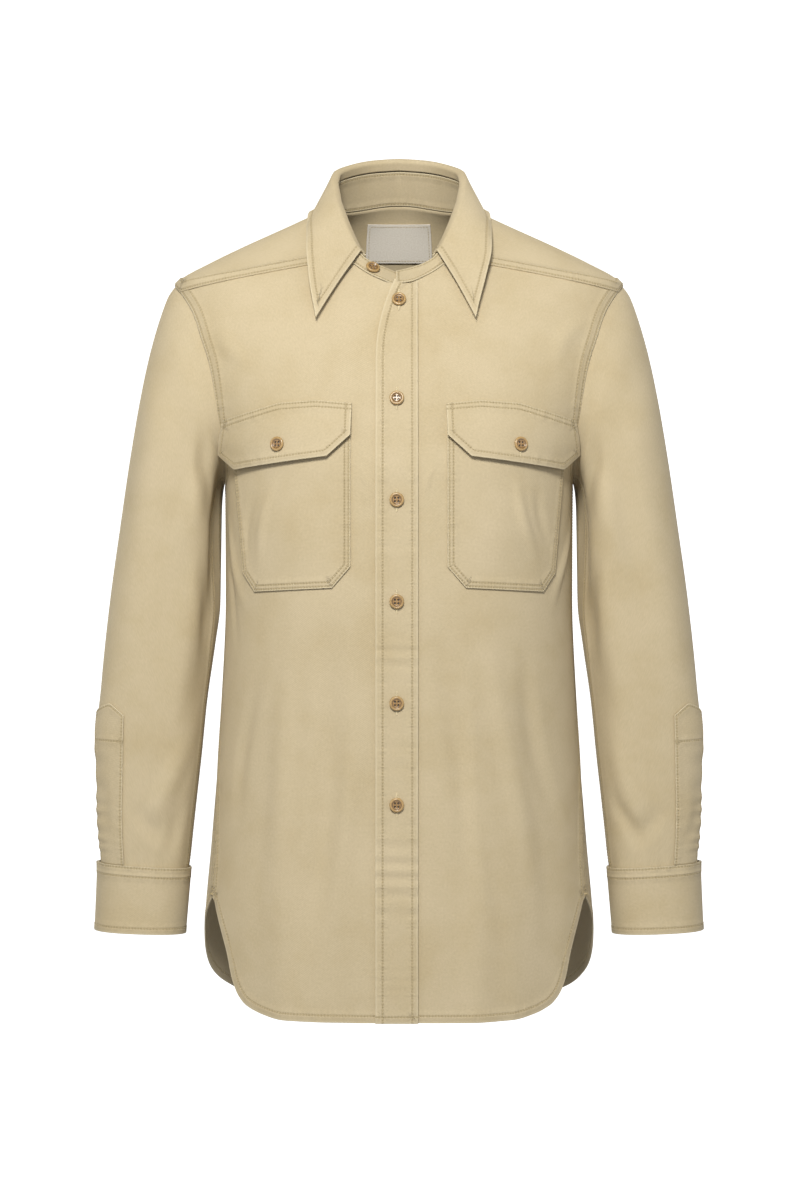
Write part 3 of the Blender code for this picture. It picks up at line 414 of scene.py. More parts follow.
def creases(table, across, down, wrap, metres_across, metres_down):
    """Sum of soft creases. Each is a run from one point to another: its height is a smooth hump of the
    distance from the run's slightly waved line, times a smooth hump along its length."""
    total = np.zeros(np.broadcast(across, down).shape)
    for x0, y0, x1, y1, half, high in table:
        x = across - x0
        x = ((x + 180) % 360 - 180) * metres_across if wrap else x * metres_across
        y = (down - y0) * metres_down
        run_x, run_y = (x1 - x0) * metres_across, (y1 - y0) * metres_down
        length = math.hypot(run_x, run_y)
        share = (x * run_x + y * run_y) / length**2
        aside = (x * run_y - y * run_x) / length + 0.0004 * half * np.sin(5 * share + y0 * 40)
        total = total + CREASE_DEPTH * high * 0.001 * bump(aside / (half * 0.001)) * bump(2 * share - 1)
    return total


def form_point(turn, height, out=0.0):
    """Point of the body form at a turn and a height, moved out along the form's normal, creases included."""
    turn, height = np.broadcast_arrays(np.asarray(turn, float), np.asarray(height, float))

    def at(t, h):
        radius = form_radius(t, h)
        return np.stack([radius * np.sin(t), -radius * np.cos(t), h], -1)

    step = 1e-4
    along = at(turn + step, height) - at(turn - step, height)
    up = at(turn, height + step) - at(turn, height - step)
    normal = np.cross(along, up)
    normal /= np.linalg.norm(normal, axis=-1, keepdims=True)
    crease = creases(BODY_CREASES, np.degrees(turn), height, True, TURN_METRES, 1.0)
    return at(turn, height) + normal * (np.asarray(out) + crease)[..., None]


def front_turn(x, height):
    """Turn of the front point at a distance from the centre."""
    half_width, front, _, square = torso(height)
    depth = front * np.maximum(1 - (np.abs(x) / half_width) ** square, 0) ** (1 / square)
    return np.arctan2(x, depth)


def height_at(turn, radius):
    """Height at which the body form has this radius, found by halving the range."""
    turn, radius = np.broadcast_arrays(np.asarray(turn, float), np.asarray(radius, float))
    low, high = np.full(turn.shape, -0.2), np.full(turn.shape, 0.033)
    for _ in range(40):
        middle = (low + high) / 2
        wide = form_radius(turn, middle) > radius
        low, high = np.where(wide, middle, low), np.where(wide, high, middle)
    return (low + high) / 2


def side_turn(height):
    """Turn of the side seam, which swings forward below the waist."""
    swing = np.clip((SEAM_SWING_START - height) / (SEAM_SWING_START - VENT_HEIGHT), 0, 1)
    return np.radians(90 + (VENT_TURN - 90) * swing * swing * (3 - 2 * swing))


def neckline(turn):
    """(turn, height) of the neckline, an oval in plan."""
    ahead = np.cos(turn)
    depth = np.where(ahead > 0, NECK_FRONT, NECK_BACK)
    radius = ((np.sin(turn) / NECK_HALF_WIDTH) ** 2 + (ahead / depth) ** 2) ** -0.5
    return np.stack([turn, height_at(turn, radius)], -1)


def armhole(degrees):
    """(turn, height) of the armhole: 0 is the shoulder point, 180 the underarm, negative the back."""
    angle = np.radians(np.asarray(degrees, float))
    middle, half = (SHOULDER_HEIGHT + UNDERARM_HEIGHT) / 2, (SHOULDER_HEIGHT - UNDERARM_HEIGHT) / 2
    height = middle + half * np.cos(angle)
    reach = np.where(angle > 0, -ARMHOLE_FRONT, ARMHOLE_BACK)
    y = reach * np.abs(np.sin(angle)) * (1 - ARMHOLE_SKEW * np.cos(angle))
    half_width, front, back, square = torso(height)
    depth = np.where(y < 0, front, back)
    x = half_width * (1 - (np.abs(y) / depth) ** square) ** (1 / square)
    return np.stack([np.arctan2(x, -y), height], -1)


def sleeve_section(row):
    """The sleeve table's columns at a row, by cubic pieces."""
    keyed = np.concatenate([np.arange(len(SLEEVE_SECTIONS))[:, None], SLEEVE_SECTIONS], 1)
    return np.moveaxis(smooth_columns(keyed, row), -1, 0)


def sleeve_point(row, degrees, out=0.0):
    """Point of the left sleeve's outside: oval rings that start as the armhole and fade to the table's."""
    row, degrees = np.broadcast_arrays(np.asarray(row, float), np.asarray(degrees, float))

    def oval(rows, angle):
        outer_x, outer_z, inner_x, inner_z, centre_y, depth, square = sleeve_section(rows)
        half_x, half_z = (outer_x - inner_x) / 2, (outer_z - inner_z) / 2
        across, ahead = np.cos(angle), np.sin(angle)
        width = np.hypot(half_x, half_z)
        radius = ((np.abs(across) / width) ** square + (np.abs(ahead) / depth) ** square) ** (-1 / square)
        degree = (np.degrees(angle) + 180) % 360 - 180
        for middle, reach, turn, turn_reach, slant, deep in SLEEVE_FOLDS:
            away = degree - turn - slant * (rows - middle)
            radius = radius - deep * bump((rows - middle) / reach) * bump(away / turn_reach)
        x = (outer_x + inner_x) / 2 + radius * across * half_x / width
        z = (outer_z + inner_z) / 2 + radius * across * half_z / width
        return np.stack([x, centre_y - radius * ahead, z], -1)

    def at(rows, degree):
        angle = np.radians(degree)
        wrapped = (degree + 180) % 360 - 180
        turn, height = np.moveaxis(armhole(np.where(wrapped == -180, 180, wrapped)), -1, 0)
        start = form_point(turn, height)
        fade = np.clip(1 - rows / ARMHOLE_FADE, 0, 1)[..., None]
        return oval(rows, angle) + (start - oval(np.zeros_like(rows), angle)) * fade * fade * (3 - 2 * fade)

    step = 0.01
    along = at(np.minimum(row + step, LAST_RING), degrees) - at(np.maximum(row - step, 0), degrees)
    around = at(row, degrees + 0.2) - at(row, degrees - 0.2)
    normal = np.cross(around, along)
    normal /= np.linalg.norm(normal, axis=-1, keepdims=True)
    return at(row, degrees) + normal * np.asarray(out)[..., None]


def stand_point(turn, share, out=0.0):
    """Point of the collar stand: share 0 on the neckline, 1 on its top edge."""
    degrees = np.degrees(turn)
    folded = np.where(degrees > 180, 360 - degrees, degrees)
    top = smooth_columns(STAND_SECTIONS, folded)
    top[..., 0] = np.where(degrees > 180, -top[..., 0], top[..., 0])
    seat = form_point(*np.moveaxis(neckline(turn), -1, 0))
    rise = top - seat
    share = np.asarray(share, float)
    centre = seat + rise * share[..., None]
    away = np.stack([np.sin(turn), -np.cos(turn), np.zeros_like(turn)], -1)
    rise_dir = rise / np.linalg.norm(rise, axis=-1, keepdims=True)
    normal = away - rise_dir * np.sum(away * rise_dir, -1, keepdims=True)
    normal /= np.linalg.norm(normal, axis=-1, keepdims=True)
    gap = STAND_SEAT + STAND_SEAT_FRONT * bump(folded / 50)
    return centre + normal * np.asarray(out)[..., None] + rise_dir * (gap * (1 - share))[..., None]


def stand_out(degrees):
    """How far the stand's outer face lies out from its line: it steps in to pass under the other end."""
    under = np.clip((degrees - 345) / 15, 0, 1)
    return DOUBLE_CLOTH / 2 - STAND_LAP * under * under * (3 - 2 * under)


def lift(points, clearance):
    """Moves points out along the body form's normal until they clear it."""
    for _ in range(4):
        turn = np.arctan2(points[..., 0], -points[..., 1])
        radius = np.hypot(points[..., 0], points[..., 1])
        height = np.clip(points[..., 2], -0.2, 0.0325)
        step = 1e-4
        slope = (form_radius(turn, height + step) - form_radius(turn, height - step)) / (2 * step)
        length = np.sqrt(1 + slope**2)
        gap = (radius - form_radius(turn, height)) / length
        need = np.maximum(clearance - gap, 0)
        out = np.stack([np.sin(turn), -np.cos(turn), -slope], -1) / length[..., None]
        points = points + out * need[..., None]
    return points


def fall_grid(turns, shares):
    """The collar fall's middle surface: up from the stand, over the roll and down to the edge."""
    degrees = np.degrees(turns)
    folded = np.where(degrees > 180, 360 - degrees, degrees)
    mirror = np.where(degrees > 180, -1.0, 1.0)
    columns = np.moveaxis(smooth_columns(FALL_SECTIONS, folded), -1, 0)
    roll_height, roll_width, edge_x, edge_y, edge_z = columns
    edge_x = edge_x - np.where(mirror > 0, LEFT_TIP_IN, 0) * bump((folded - FALL_START) / 30)
    edge = np.stack([edge_x * mirror, edge_y, edge_z], -1)
    one = np.ones_like(turns)
    top = stand_point(turns, one)
    low = stand_point(turns, 0.8 * one)
    up = (top - low) / np.linalg.norm(top - low, axis=-1, keepdims=True)
    away = stand_point(turns, one, one) - stand_point(turns, one, 0 * one)
    half = roll_width / 2
    foot = top + up * FALL_SEAT
    rows = []
    for share in shares:
        if share <= 0.2:
            rows.append(foot + up * (roll_height * share / 0.2)[:, None] * 0.75)
        elif share <= 0.45:
            angle = math.pi * (share - 0.2) / 0.25
            rise = 0.75 + 0.25 * math.sin(angle)
            reach = half * (1 - math.cos(angle))
            rows.append(foot + up * (roll_height * rise)[:, None] + away * reach[:, None])
        else:
            t = (share - 0.45) / 0.55
            start = foot + up * (roll_height * 0.75)[:, None] + away * roll_width[:, None]
            bow = FALL_BOW * math.sin(math.pi * t)
            rows.append(start * (1 - t) + edge * t + away * bow)
    points = np.stack(rows)
    skirt = shares > 0.45
    points[skirt] = lift(points[skirt], FALL_LIFT)
    return points


def flap_out(share):
    """How far the flap's under side lies out from the front, from its sewn top edge to its free edge."""
    return FLAP_SEAT + FLAP_RISE * share**FLAP_RISE_POWER


def flap_face(side, x, height):
    """Point of the flap's outer face at a distance from the centre and a height."""
    top, low = (np.interp(x, edge[:, 0], edge[:, 1]) for edge in (FLAP_TOP, FLAP_BOTTOM))
    out = flap_out((top - height) / (top - low)) + CLOTH
    return form_point(side * front_turn(x, height), height, out)


def linear(hex_colour):
    """Linear RGBA of an sRGB hex colour."""
    parts = np.array([int(hex_colour[k : k + 2], 16) for k in (1, 3, 5)]) / 255
    parts = np.where(parts <= 0.04045, parts / 12.92, ((parts + 0.055) / 1.055) ** 2.4)
    return (*parts, 1.0)


def lengths(points, axis=0):
    """Length along the lines of a grid, from the first point of each."""
    step = np.linalg.norm(np.diff(points, axis=axis), axis=-1)
    return np.concatenate([np.zeros_like(np.take(step, [0], axis)), np.cumsum(step, axis)], axis)


def spaced(length, step=GRID_STEP, first=True, last=True):
    """Shares of a length for the lines of a grid: close together near the ends that have an edge, and a step
    apart between them."""
    near = np.array([s for s in EDGE_STEPS if s < length * 0.4])
    start = near if first else np.array([0.0])
    end = length - (near if last else np.array([0.0]))
    count = max(int(round((end.min() - start.max()) / step)), 2)
    middle = np.linspace(start.max(), end.min(), count + 1)
    return np.unique(np.round(np.concatenate([start, middle, end]) / length, 7))


def drawn(line, shares):
    """Points of a (turn, height) line at shares of its length on the body."""
    flat = line * [0.15, 1]
    at = lengths(flat)
    return np.stack([np.interp(shares * at[-1], at, line[:, k]) for k in (0, 1)], -1)


def filled(bottom, top, left, right, across, up):
    """A grid at shares across and up between four (turn, height) lines, blended from them."""
    bottom, top, left, right = drawn(bottom, across), drawn(top, across), drawn(left, up), drawn(right, up)
    u, v = across[None, :, None], up[:, None, None]
    ruled = (1 - v) * bottom[None] + v * top[None] + (1 - u) * left[:, None] + u * right[:, None]
    corners = (1 - v) * ((1 - u) * bottom[0] + u * bottom[-1]) + v * ((1 - u) * top[0] + u * top[-1])
    return ruled - corners


# A grid turned so that the named edge is its first row, and back again
SIDES = {
    "bottom": lambda grid: grid,
    "top": lambda grid: grid[::-1],
    "left": lambda grid: np.swapaxes(grid, 0, 1),
    "right": lambda grid: np.swapaxes(grid, 0, 1)[::-1],
}
TURNED_BACK = {**SIDES, "right": lambda grid: np.swapaxes(grid[::-1], 0, 1)}


def from_edge(points, side, reach=0.020):
    """Distance of each point of a grid from one of its edges, and the length along that edge of the place
    nearest to it. Past the reach the distance is large."""
    turned = SIDES[side](points)
    edge = turned[0]
    at = lengths(edge)
    fine = np.arange(0, at[-1], 0.0010)
    line = np.stack([np.interp(fine, at, edge[:, k]) for k in range(3)], -1)
    depth = lengths(turned).min(1)
    rows = max(int(np.searchsorted(depth, reach)), 2)
    distance = np.full(turned.shape[:2], 1.0)
    place = np.zeros(turned.shape[:2])
    for row in range(min(rows, len(turned))):
        gap = np.linalg.norm(turned[row][:, None] - line[None], axis=-1)
        near = gap.argmin(1)
        distance[row] = gap[np.arange(len(near)), near]
        place[row] = fine[near]
    return TURNED_BACK[side](distance), TURNED_BACK[side](place)


def normals_of(points, outward):
    """Unit normals of a grid, on the side that outward points to."""
    cross = np.cross(np.gradient(points, axis=0), np.gradient(points, axis=1))
    cross /= np.linalg.norm(cross, axis=-1, keepdims=True) + 1e-12
    return cross * np.where(np.sum(cross * outward, -1, keepdims=True) < 0, -1, 1)


def line_inside(values, distance, side, inset):
    """The line on a grid that lies an inset in from an edge: along each line of the grid, the first place
    whose distance from the edge passes the inset."""
    grid, gap = SIDES[side](values), SIDES[side](distance)
    row = np.clip((np.maximum.accumulate(gap, 0) < inset).sum(0) - 1, 0, len(gap) - 2)
    column = np.arange(gap.shape[1])
    near, far = gap[row, column], gap[row + 1, column]
    share = np.clip((inset - near) / np.where(far == near, 1, far - near), 0, 1)[:, None]
    return grid[row, column] * (1 - share) + grid[row + 1, column] * share


def stitches(line, facing, keep=None, pitch=THREAD_PITCH, length=THREAD_LENGTH, width=THREAD_WIDTH,
             turned=False):
    """Places of a run of stitches: middles, directions, facings and sizes, a pitch apart along a line."""
    at = lengths(line)
    spots = np.arange(pitch / 2, at[-1], pitch)
    middle = np.stack([np.interp(spots, at, line[:, k]) for k in range(3)], -1)
    ahead = np.stack([np.interp(spots + 0.0004, at, line[:, k]) for k in range(3)], -1)
    behind = np.stack([np.interp(spots - 0.0004, at, line[:, k]) for k in range(3)], -1)
    normal = np.stack([np.interp(spots, at, facing[:, k]) for k in range(3)], -1)
    normal /= np.linalg.norm(normal, axis=-1, keepdims=True)
    along = ahead - behind
    along /= np.linalg.norm(along, axis=-1, keepdims=True) + 1e-12
    if turned:
        along = np.cross(along, normal)
    sizes = np.broadcast_to([length, width], (len(spots), 2))
    good = np.ones(len(spots), bool) if keep is None else np.interp(spots, at, keep.astype(float)) > 0.5
    return [middle[good], along[good], normal[good], sizes[good]]


def add_thread(name, runs, material):
    """Stitches as one mesh. Each is a small spindle: two pointed ends and two rings of four between them,
    half sunk in the cloth."""
    middle, along, normal, sizes = (np.concatenate([run[k] for run in runs]) for k in range(4))
    beside = np.cross(normal, along)
    ring = ((1, 0), (0, 1), (-1, 0), (0, -1))
    shape = np.array([(-1, 0, 0), *((x, y, z) for x in (-0.7, 0.7) for y, z in ring), (1, 0, 0)])
    half = sizes / 2
    x = (along * half[:, :1])[:, None] * shape[None, :, :1]
    y = (beside * half[:, 1:])[:, None] * shape[None, :, 1:2]
    z = (normal * half[:, 1:])[:, None] * shape[None, :, 2:] * 0.9
    points = (middle[:, None] + x + y + z + (normal * half[:, 1:] * 0.35)[:, None]).reshape(-1, 3)
    face = [(0, 1 + (k + 1) % 4, 1 + k) for k in range(4)]
    face += [(9, 5 + k, 5 + (k + 1) % 4) for k in range(4)]
    face += [(1 + k, 1 + (k + 1) % 4, 5 + (k + 1) % 4) for k in range(4)]
    face += [(1 + k, 5 + (k + 1) % 4, 5 + k) for k in range(4)]
    face = np.array(face)
    faces = (face[None] + 10 * np.arange(len(middle))[:, None, None]).reshape(-1, 3)
    mesh = bpy.data.meshes.new(name)
    mesh.from_pydata(points.tolist(), [], faces.tolist())
    return place_mesh(name, mesh, material)


def place_mesh(name, mesh, material):
    """Links a finished mesh, with smooth shading, one material and its place in the shirt."""
    mesh.materials.append(material)
    mesh.shade_smooth()
    piece = bpy.data.objects.new(name, mesh)
    bpy.context.scene.collection.objects.link(piece)
    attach(piece, "root")
    return piece


def add_cloth(name, outer, inner, marks, material, closed=False):
    """A wall of cloth between two grids, with its rims. Its UV map holds metres along the cloth, and its
    marks are values at each point for the material to read."""
    rows, columns = outer.shape[:2]
    wide = columns + 1 if closed else columns
    spot = np.arange(rows * wide).reshape(rows, wide)
    real = (np.arange(rows)[:, None] * columns + np.arange(wide)[None] % columns).ravel()
    around = np.concatenate([outer, outer[:, :1]], 1) if closed else outer
    cloth_map = np.stack([lengths(around, 1), lengths(around, 0)], -1)
    middle = wide // 2
    cloth_map[..., 0] -= cloth_map[:, middle : middle + 1, 0]
    cloth_map = np.tile(cloth_map.reshape(-1, 2), (2, 1))
    real = np.concatenate([real, real + rows * columns])

    def strip(first, second):
        return np.stack([first[:-1], first[1:], second[1:], second[:-1]], -1)

    other = spot + rows * wide
    faces = [strip(spot[k], spot[k + 1]) for k in range(rows - 1)]
    faces += [strip(other[k + 1], other[k]) for k in range(rows - 1)]
    faces += [strip(other[0], spot[0]), strip(spot[-1], other[-1])]
    if not closed:
        faces += [strip(spot[:, 0], other[:, 0]), strip(other[:, -1], spot[:, -1])]
    faces = np.concatenate(faces)
    points = np.concatenate([outer.reshape(-1, 3), inner.reshape(-1, 3)])
    a, b, c, d = (points[real[faces[:, k]]] for k in range(4))
    if np.sum(a * np.cross(b, c)) + np.sum(a * np.cross(c, d)) < 0:
        faces = faces[:, ::-1]
    mesh = bpy.data.meshes.new(name)
    mesh.from_pydata(points.tolist(), [], real[faces].tolist())
    layer = mesh.uv_layers.new(name="cloth")
    layer.data.foreach_set("uv", cloth_map[faces.ravel()].astype(np.float32).ravel())
    for mark, values in marks.items():
        attribute = mesh.attributes.new(mark, "FLOAT", "POINT")
        attribute.data.foreach_set("value", np.tile(values.ravel(), 2).astype(np.float32))
    return place_mesh(name, mesh, material)


def sew(name, node, surface, wall, cut, sewn=(), raised=(), laps=(), free=(), closed=False, lines=(),
        inside=(), material="twill"):
    """Builds one piece of cloth and its sewing.

    surface gives the grid at a distance out. sewn lists rows of stitches: how far in from an edge, and for
    each edge the shares of its length between which it is sewn. raised lists seams and hems: the edge, the
    share of it where the seam starts, how wide it is and how far it stands up. laps lists edges that reach
    over their neighbour, with the shares between which they do. free lists the folded edges, which wear pale
    and carry a painted highlight. lines lists the rows (0) or columns (1) of the grid that are sewn. inside
    lists the insets whose stitches show inside as well."""
    base = surface(0.0)
    sides = {side for _, where in sewn for side in where} | {side for side, *_ in raised} | set(free)
    away = {side: from_edge(base, side) for side in sides}
    out = np.zeros(base.shape[:2])
    for side, start, width, rise in raised:
        gap, place = away[side]
        share = place / max(place.max(), 1e-9)
        within = np.ones(share.shape) if start <= 0 else np.clip((share - start) / 0.01, 0, 1)
        out = np.maximum(out, rise * np.clip((width + 0.0007 - gap) / 0.0014, 0, 1) * within)
    outer, inner = surface(out + wall), surface(out)
    for side, start, end in laps:
        for grid in (outer, inner):
            turned = SIDES[side](grid)
            share = np.linspace(0, 1, turned.shape[1])
            step = turned[0] - turned[1]
            step /= np.linalg.norm(step, axis=-1, keepdims=True)
            turned[0] += step * (SEAM_LAP * ((share >= start) & (share <= end)))[:, None]
    facing = normals_of(outer, outer - inner)
    both = np.concatenate([outer, facing], -1)
    under = np.concatenate([inner, -facing], -1)
    seam, along, edge = np.full(out.shape, 0.03), np.zeros(out.shape), np.full(out.shape, 0.03)
    marked = []
    for inset, where in sewn:
        for side in where:
            past = [away[other][0] < inset - 0.0006 for other in where if other != side]
            marked.append((np.where(np.any(past, 0) if past else False, 1, np.abs(away[side][0] - inset)),
                           away[side][1]))
    for axis, index in lines:
        across, down = lengths(base, axis), lengths(base, 1 - axis)
        marked.append((np.abs(across - np.take(across, [index], axis)), down))
    for near, place in marked:
        along = np.where(near < seam, place, along)
        seam = np.minimum(seam, near)
    for side in free:
        edge = np.minimum(edge, away[side][0])
    marks = {"seam": seam * 1000, "along": along * 1000, "edge": edge * 1000}
    piece = add_cloth(name, outer, inner, marks, MATERIALS[material], closed)
    runs = []
    for inset, where in sewn:
        for side, (start, end) in where.items():
            for sheet in (both, under) if inset in inside else (both,):
                line = line_inside(sheet, away[side][0], side, inset)
                keep = np.ones(len(line), bool)
                for other in where:
                    if other != side:
                        clear = line_inside(away[other][0][..., None], away[side][0], side, inset)[:, 0]
                        keep &= clear > inset - 0.0004
                share = np.linspace(0, 1, len(line))
                keep &= (share >= start) & (share <= end)
                runs.append(stitches(line[:, :3], line[:, 3:], keep))
    for axis, index in lines:
        runs.append(stitches(np.take(outer, index, axis), np.take(facing, index, axis)))
    threads = [add_thread(name + "_thread", runs, MATERIALS["thread"])] if runs else []
    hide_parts(node)
    width, length, area = cut


def yoke_front_seam():
    """(turn, height) of the front yoke seam of the wearer's left, from the neckline to the armhole."""
    start = neckline(np.radians(YOKE_NECK_TURN))
    end = armhole(YOKE_FRONT_ANGLE)
    share = np.linspace(0, 1, 60)
    x = form_point(*start)[0] * (1 - share) + form_point(*end)[0] * share
    height = start[1] * (1 - share) + end[1] * share
    seam = np.stack([front_turn(x, height), height], -1)
    seam[0], seam[-1] = start, end
    return seam


def side_line(arm_angles):
    """(turn, height) up the side seam from the vent, then up the armhole, and the underarm's share of it."""
    height = np.linspace(VENT_HEIGHT, UNDERARM_HEIGHT, 90)
    line = np.concatenate([np.stack([side_turn(height), height], -1)[:-1], armhole(arm_angles)])
    at = lengths(form_point(line[:, 0], line[:, 1]))
    return line, at[89] / at[-1]


def straight(start, end, count=60):
    """Points of a straight (turn, height) line."""
    share = np.linspace(0, 1, count)[:, None]
    return np.asarray(start) * (1 - share) + np.asarray(end) * share


def build_front(label, side, inner_x):
    """A front: a sheet on the body form between its centre edge, the hem, the side seam and armhole, and the
    neckline and yoke seam."""
    neck = neckline(np.linspace(np.arctan2(inner_x, NECK_FRONT), np.radians(YOKE_NECK_TURN), 40))
    top = np.concatenate([neck[:-1], yoke_front_seam()])
    right, _ = side_line(np.linspace(180, YOKE_FRONT_ANGLE, 90))
    hem_x = np.linspace(inner_x, FRONT_HEM[-1, 0], 160)
    hem_z = smooth_columns(FRONT_HEM, hem_x)[..., 0]
    bottom = np.stack([front_turn(hem_x, hem_z), hem_z], -1)
    bottom[-1] = right[0]
    height = np.linspace(hem_z[0], neck[0, 1], 200)
    left = np.stack([front_turn(inner_x, height), height], -1)
    left[0], left[-1] = bottom[0], top[0]
    flat = filled(bottom, top, left, right, spaced(0.275), spaced(0.715))
    turn, height = side * flat[..., 0], flat[..., 1]
    name = "front_" + label
    sew(name + "_sheet", name, lambda out: form_point(turn, height, out - CLOTH), CLOTH, CUTS[name],
        sewn=[(HEM_ROW, {"bottom": WHOLE}), (SEAM_ROW, {"right": WHOLE}), (FELL_ROW, {"right": WHOLE})],
        raised=[("bottom", 0, HEM_ROW, HEM_RISE), ("right", 0, FELL_WIDTH, FELL_RISE)],
        laps=[("right", 0, 1)], free=["bottom", "right"])


def mirrored(half):
    """A half grid that ends on the centre back, carried on over the other side."""
    other = half[:, -2::-1].copy()
    other[..., 0] = 2 * np.pi - other[..., 0]
    return np.concatenate([half, other], 1)


def build_back():
    """The back: a sheet on the body form, half of it filled and carried on over the centre."""
    right, underarm = side_line(np.linspace(-180, YOKE_BACK_ANGLE, 90))
    centre = np.array([np.pi, YOKE_BACK_HEIGHT])
    turns = np.linspace(180, BACK_HEM[-1, 0], 160)
    bottom = np.stack([np.radians(turns), smooth_columns(BACK_HEM, turns)[..., 0]], -1)
    bottom[-1] = right[0]
    left = straight((np.pi, BACK_HEM[0, 1]), centre, 200)
    half = filled(bottom, straight(centre, right[-1]), left, right, spaced(0.265, first=False), spaced(0.690))
    flat = mirrored(half[:, ::-1])
    arms = {"left": (underarm, 1), "right": (underarm, 1)}
    sew("back_sheet", "back", lambda out: form_point(flat[..., 0], flat[..., 1], out - CLOTH), CLOTH,
        CUTS["back"],
        sewn=[(HEM_ROW, {"bottom": WHOLE}), (SEAM_ROW, arms), (FELL_ROW, arms)],
        raised=[("bottom", 0, HEM_ROW, HEM_RISE), ("left", underarm, FELL_WIDTH, FELL_RISE),
                ("right", underarm, FELL_WIDTH, FELL_RISE)],
        laps=[("left", underarm, 1), ("right", underarm, 1)], free=["bottom"], inside=(HEM_ROW,))


def build_yoke():
    """The yoke: a sheet from each front seam over the shoulder to the seam across the back."""
    arm = armhole(np.linspace(YOKE_FRONT_ANGLE, YOKE_BACK_ANGLE, 90))
    centre = np.array([np.pi, YOKE_BACK_HEIGHT])
    outer = np.concatenate([arm, straight(arm[-1], centre)[1:]])
    neck = neckline(np.linspace(np.radians(YOKE_NECK_TURN), np.pi, 160))
    front = yoke_front_seam()
    half = filled(outer, neck, front[::-1], straight(centre, neck[-1]), spaced(0.300, last=False),
                  spaced(0.125, last=False))
    flat = mirrored(half)
    every = {"bottom": WHOLE, "left": WHOLE, "right": WHOLE}
    sew("yoke_sheet", "yoke", lambda out: form_point(flat[..., 0], flat[..., 1], out - CLOTH), CLOTH,
        CUTS["yoke"],
        sewn=[(SEAM_ROW, every), (FELL_ROW, every)],
        raised=[(side, 0, FELL_WIDTH, YOKE_RISE) for side in every],
        laps=[(side, 0, 1) for side in every])


def sleeve_surface(label, row, degrees, out):
    """Point of a sleeve: the oval tube, with its creases and the gathers above the cuff."""
    row, degrees = np.broadcast_arrays(np.asarray(row, float), np.asarray(degrees, float))
    crease = creases(SLEEVE_CREASES[label], degrees, row, True, ANGLE_METRES, ROW_METRES)
    crease = crease * np.clip(row / 0.8, 0, 1)
    low = np.clip((row - 11.1) / 0.9, 0, 1)
    gather = -0.0004 - 0.0005 * np.sin(np.radians(degrees) * 15 + 2 * np.sin(np.radians(degrees) * 4))
    gather = gather * low * low * np.clip((12.3 - row) / 0.3, 0, 1)
    points = sleeve_point(row, degrees, out + crease + gather)
    return points * [1 if label == "left" else -1, 1, 1]


def build_sleeve(label):
    """A sleeve: a tube of oval rings from the armhole to just under the cuff."""
    rows = np.linspace(0, 12.14, 186)[:, None]
    degrees = (np.arange(0, 360, 2.8125) - 180)[None]
    angle = (degrees + 360) % 360
    fell = FELL_RISE * np.clip((9.0 - np.abs(angle - 170)) / 1.5, 0, 1)
    fell = fell * np.clip(rows / 0.5, 0, 1) * np.clip((12 - rows) / 0.2, 0, 1)
    columns = [int(np.argmin(np.abs(angle - at))) for at in (163.1, 177.2)]
    sew("sleeve_" + label + "_sheet", "sleeve_" + label,
        lambda out: sleeve_surface(label, rows, degrees, out - CLOTH + fell), CLOTH,
        CUTS["sleeve"], closed=True, lines=[(1, column) for column in columns])


def build_cuff(label):
    """A cuff: a band of two layers round the sleeve's end, lapping over itself behind the outer edge."""
    rows = 11.98 + 2.02 * spaced(0.067)[:, None]
    degrees = CUFF_OUTER_END + (CUFF_INNER_END - CUFF_OUTER_END) * spaced(0.255)[None]
    lap = np.clip((CUFF_LAP_START - degrees) / (CUFF_LAP_START - (CUFF_INNER_END - 360)), 0, 1)
    base = 0.0003 + (DOUBLE_CLOTH + 2 * SEAM_GAP) * lap * lap * (3 - 2 * lap) + 0 * rows
    puff = 0.0003 * np.sin(np.radians(degrees) * 9 + 1.5) * np.clip((12.5 - rows) / 0.5, 0, 1)
    sew("cuff_" + label + "_sheet", "cuff_" + label,
        lambda out: sleeve_surface(label, rows, degrees, base + puff + out), DOUBLE_CLOTH,
        CUTS["cuff"],
        sewn=[(0.0016, {"bottom": WHOLE}), (CUFF_FELL_ROW, {"bottom": WHOLE}),
              (CUFF_TOP_ROW, {"top": WHOLE, "left": WHOLE})],
        raised=[("top", 0, CUFF_TOP_ROW, FOLD_RISE), ("bottom", 0, CUFF_FELL_ROW, FOLD_RISE)],
        free=["top", "left", "bottom"])


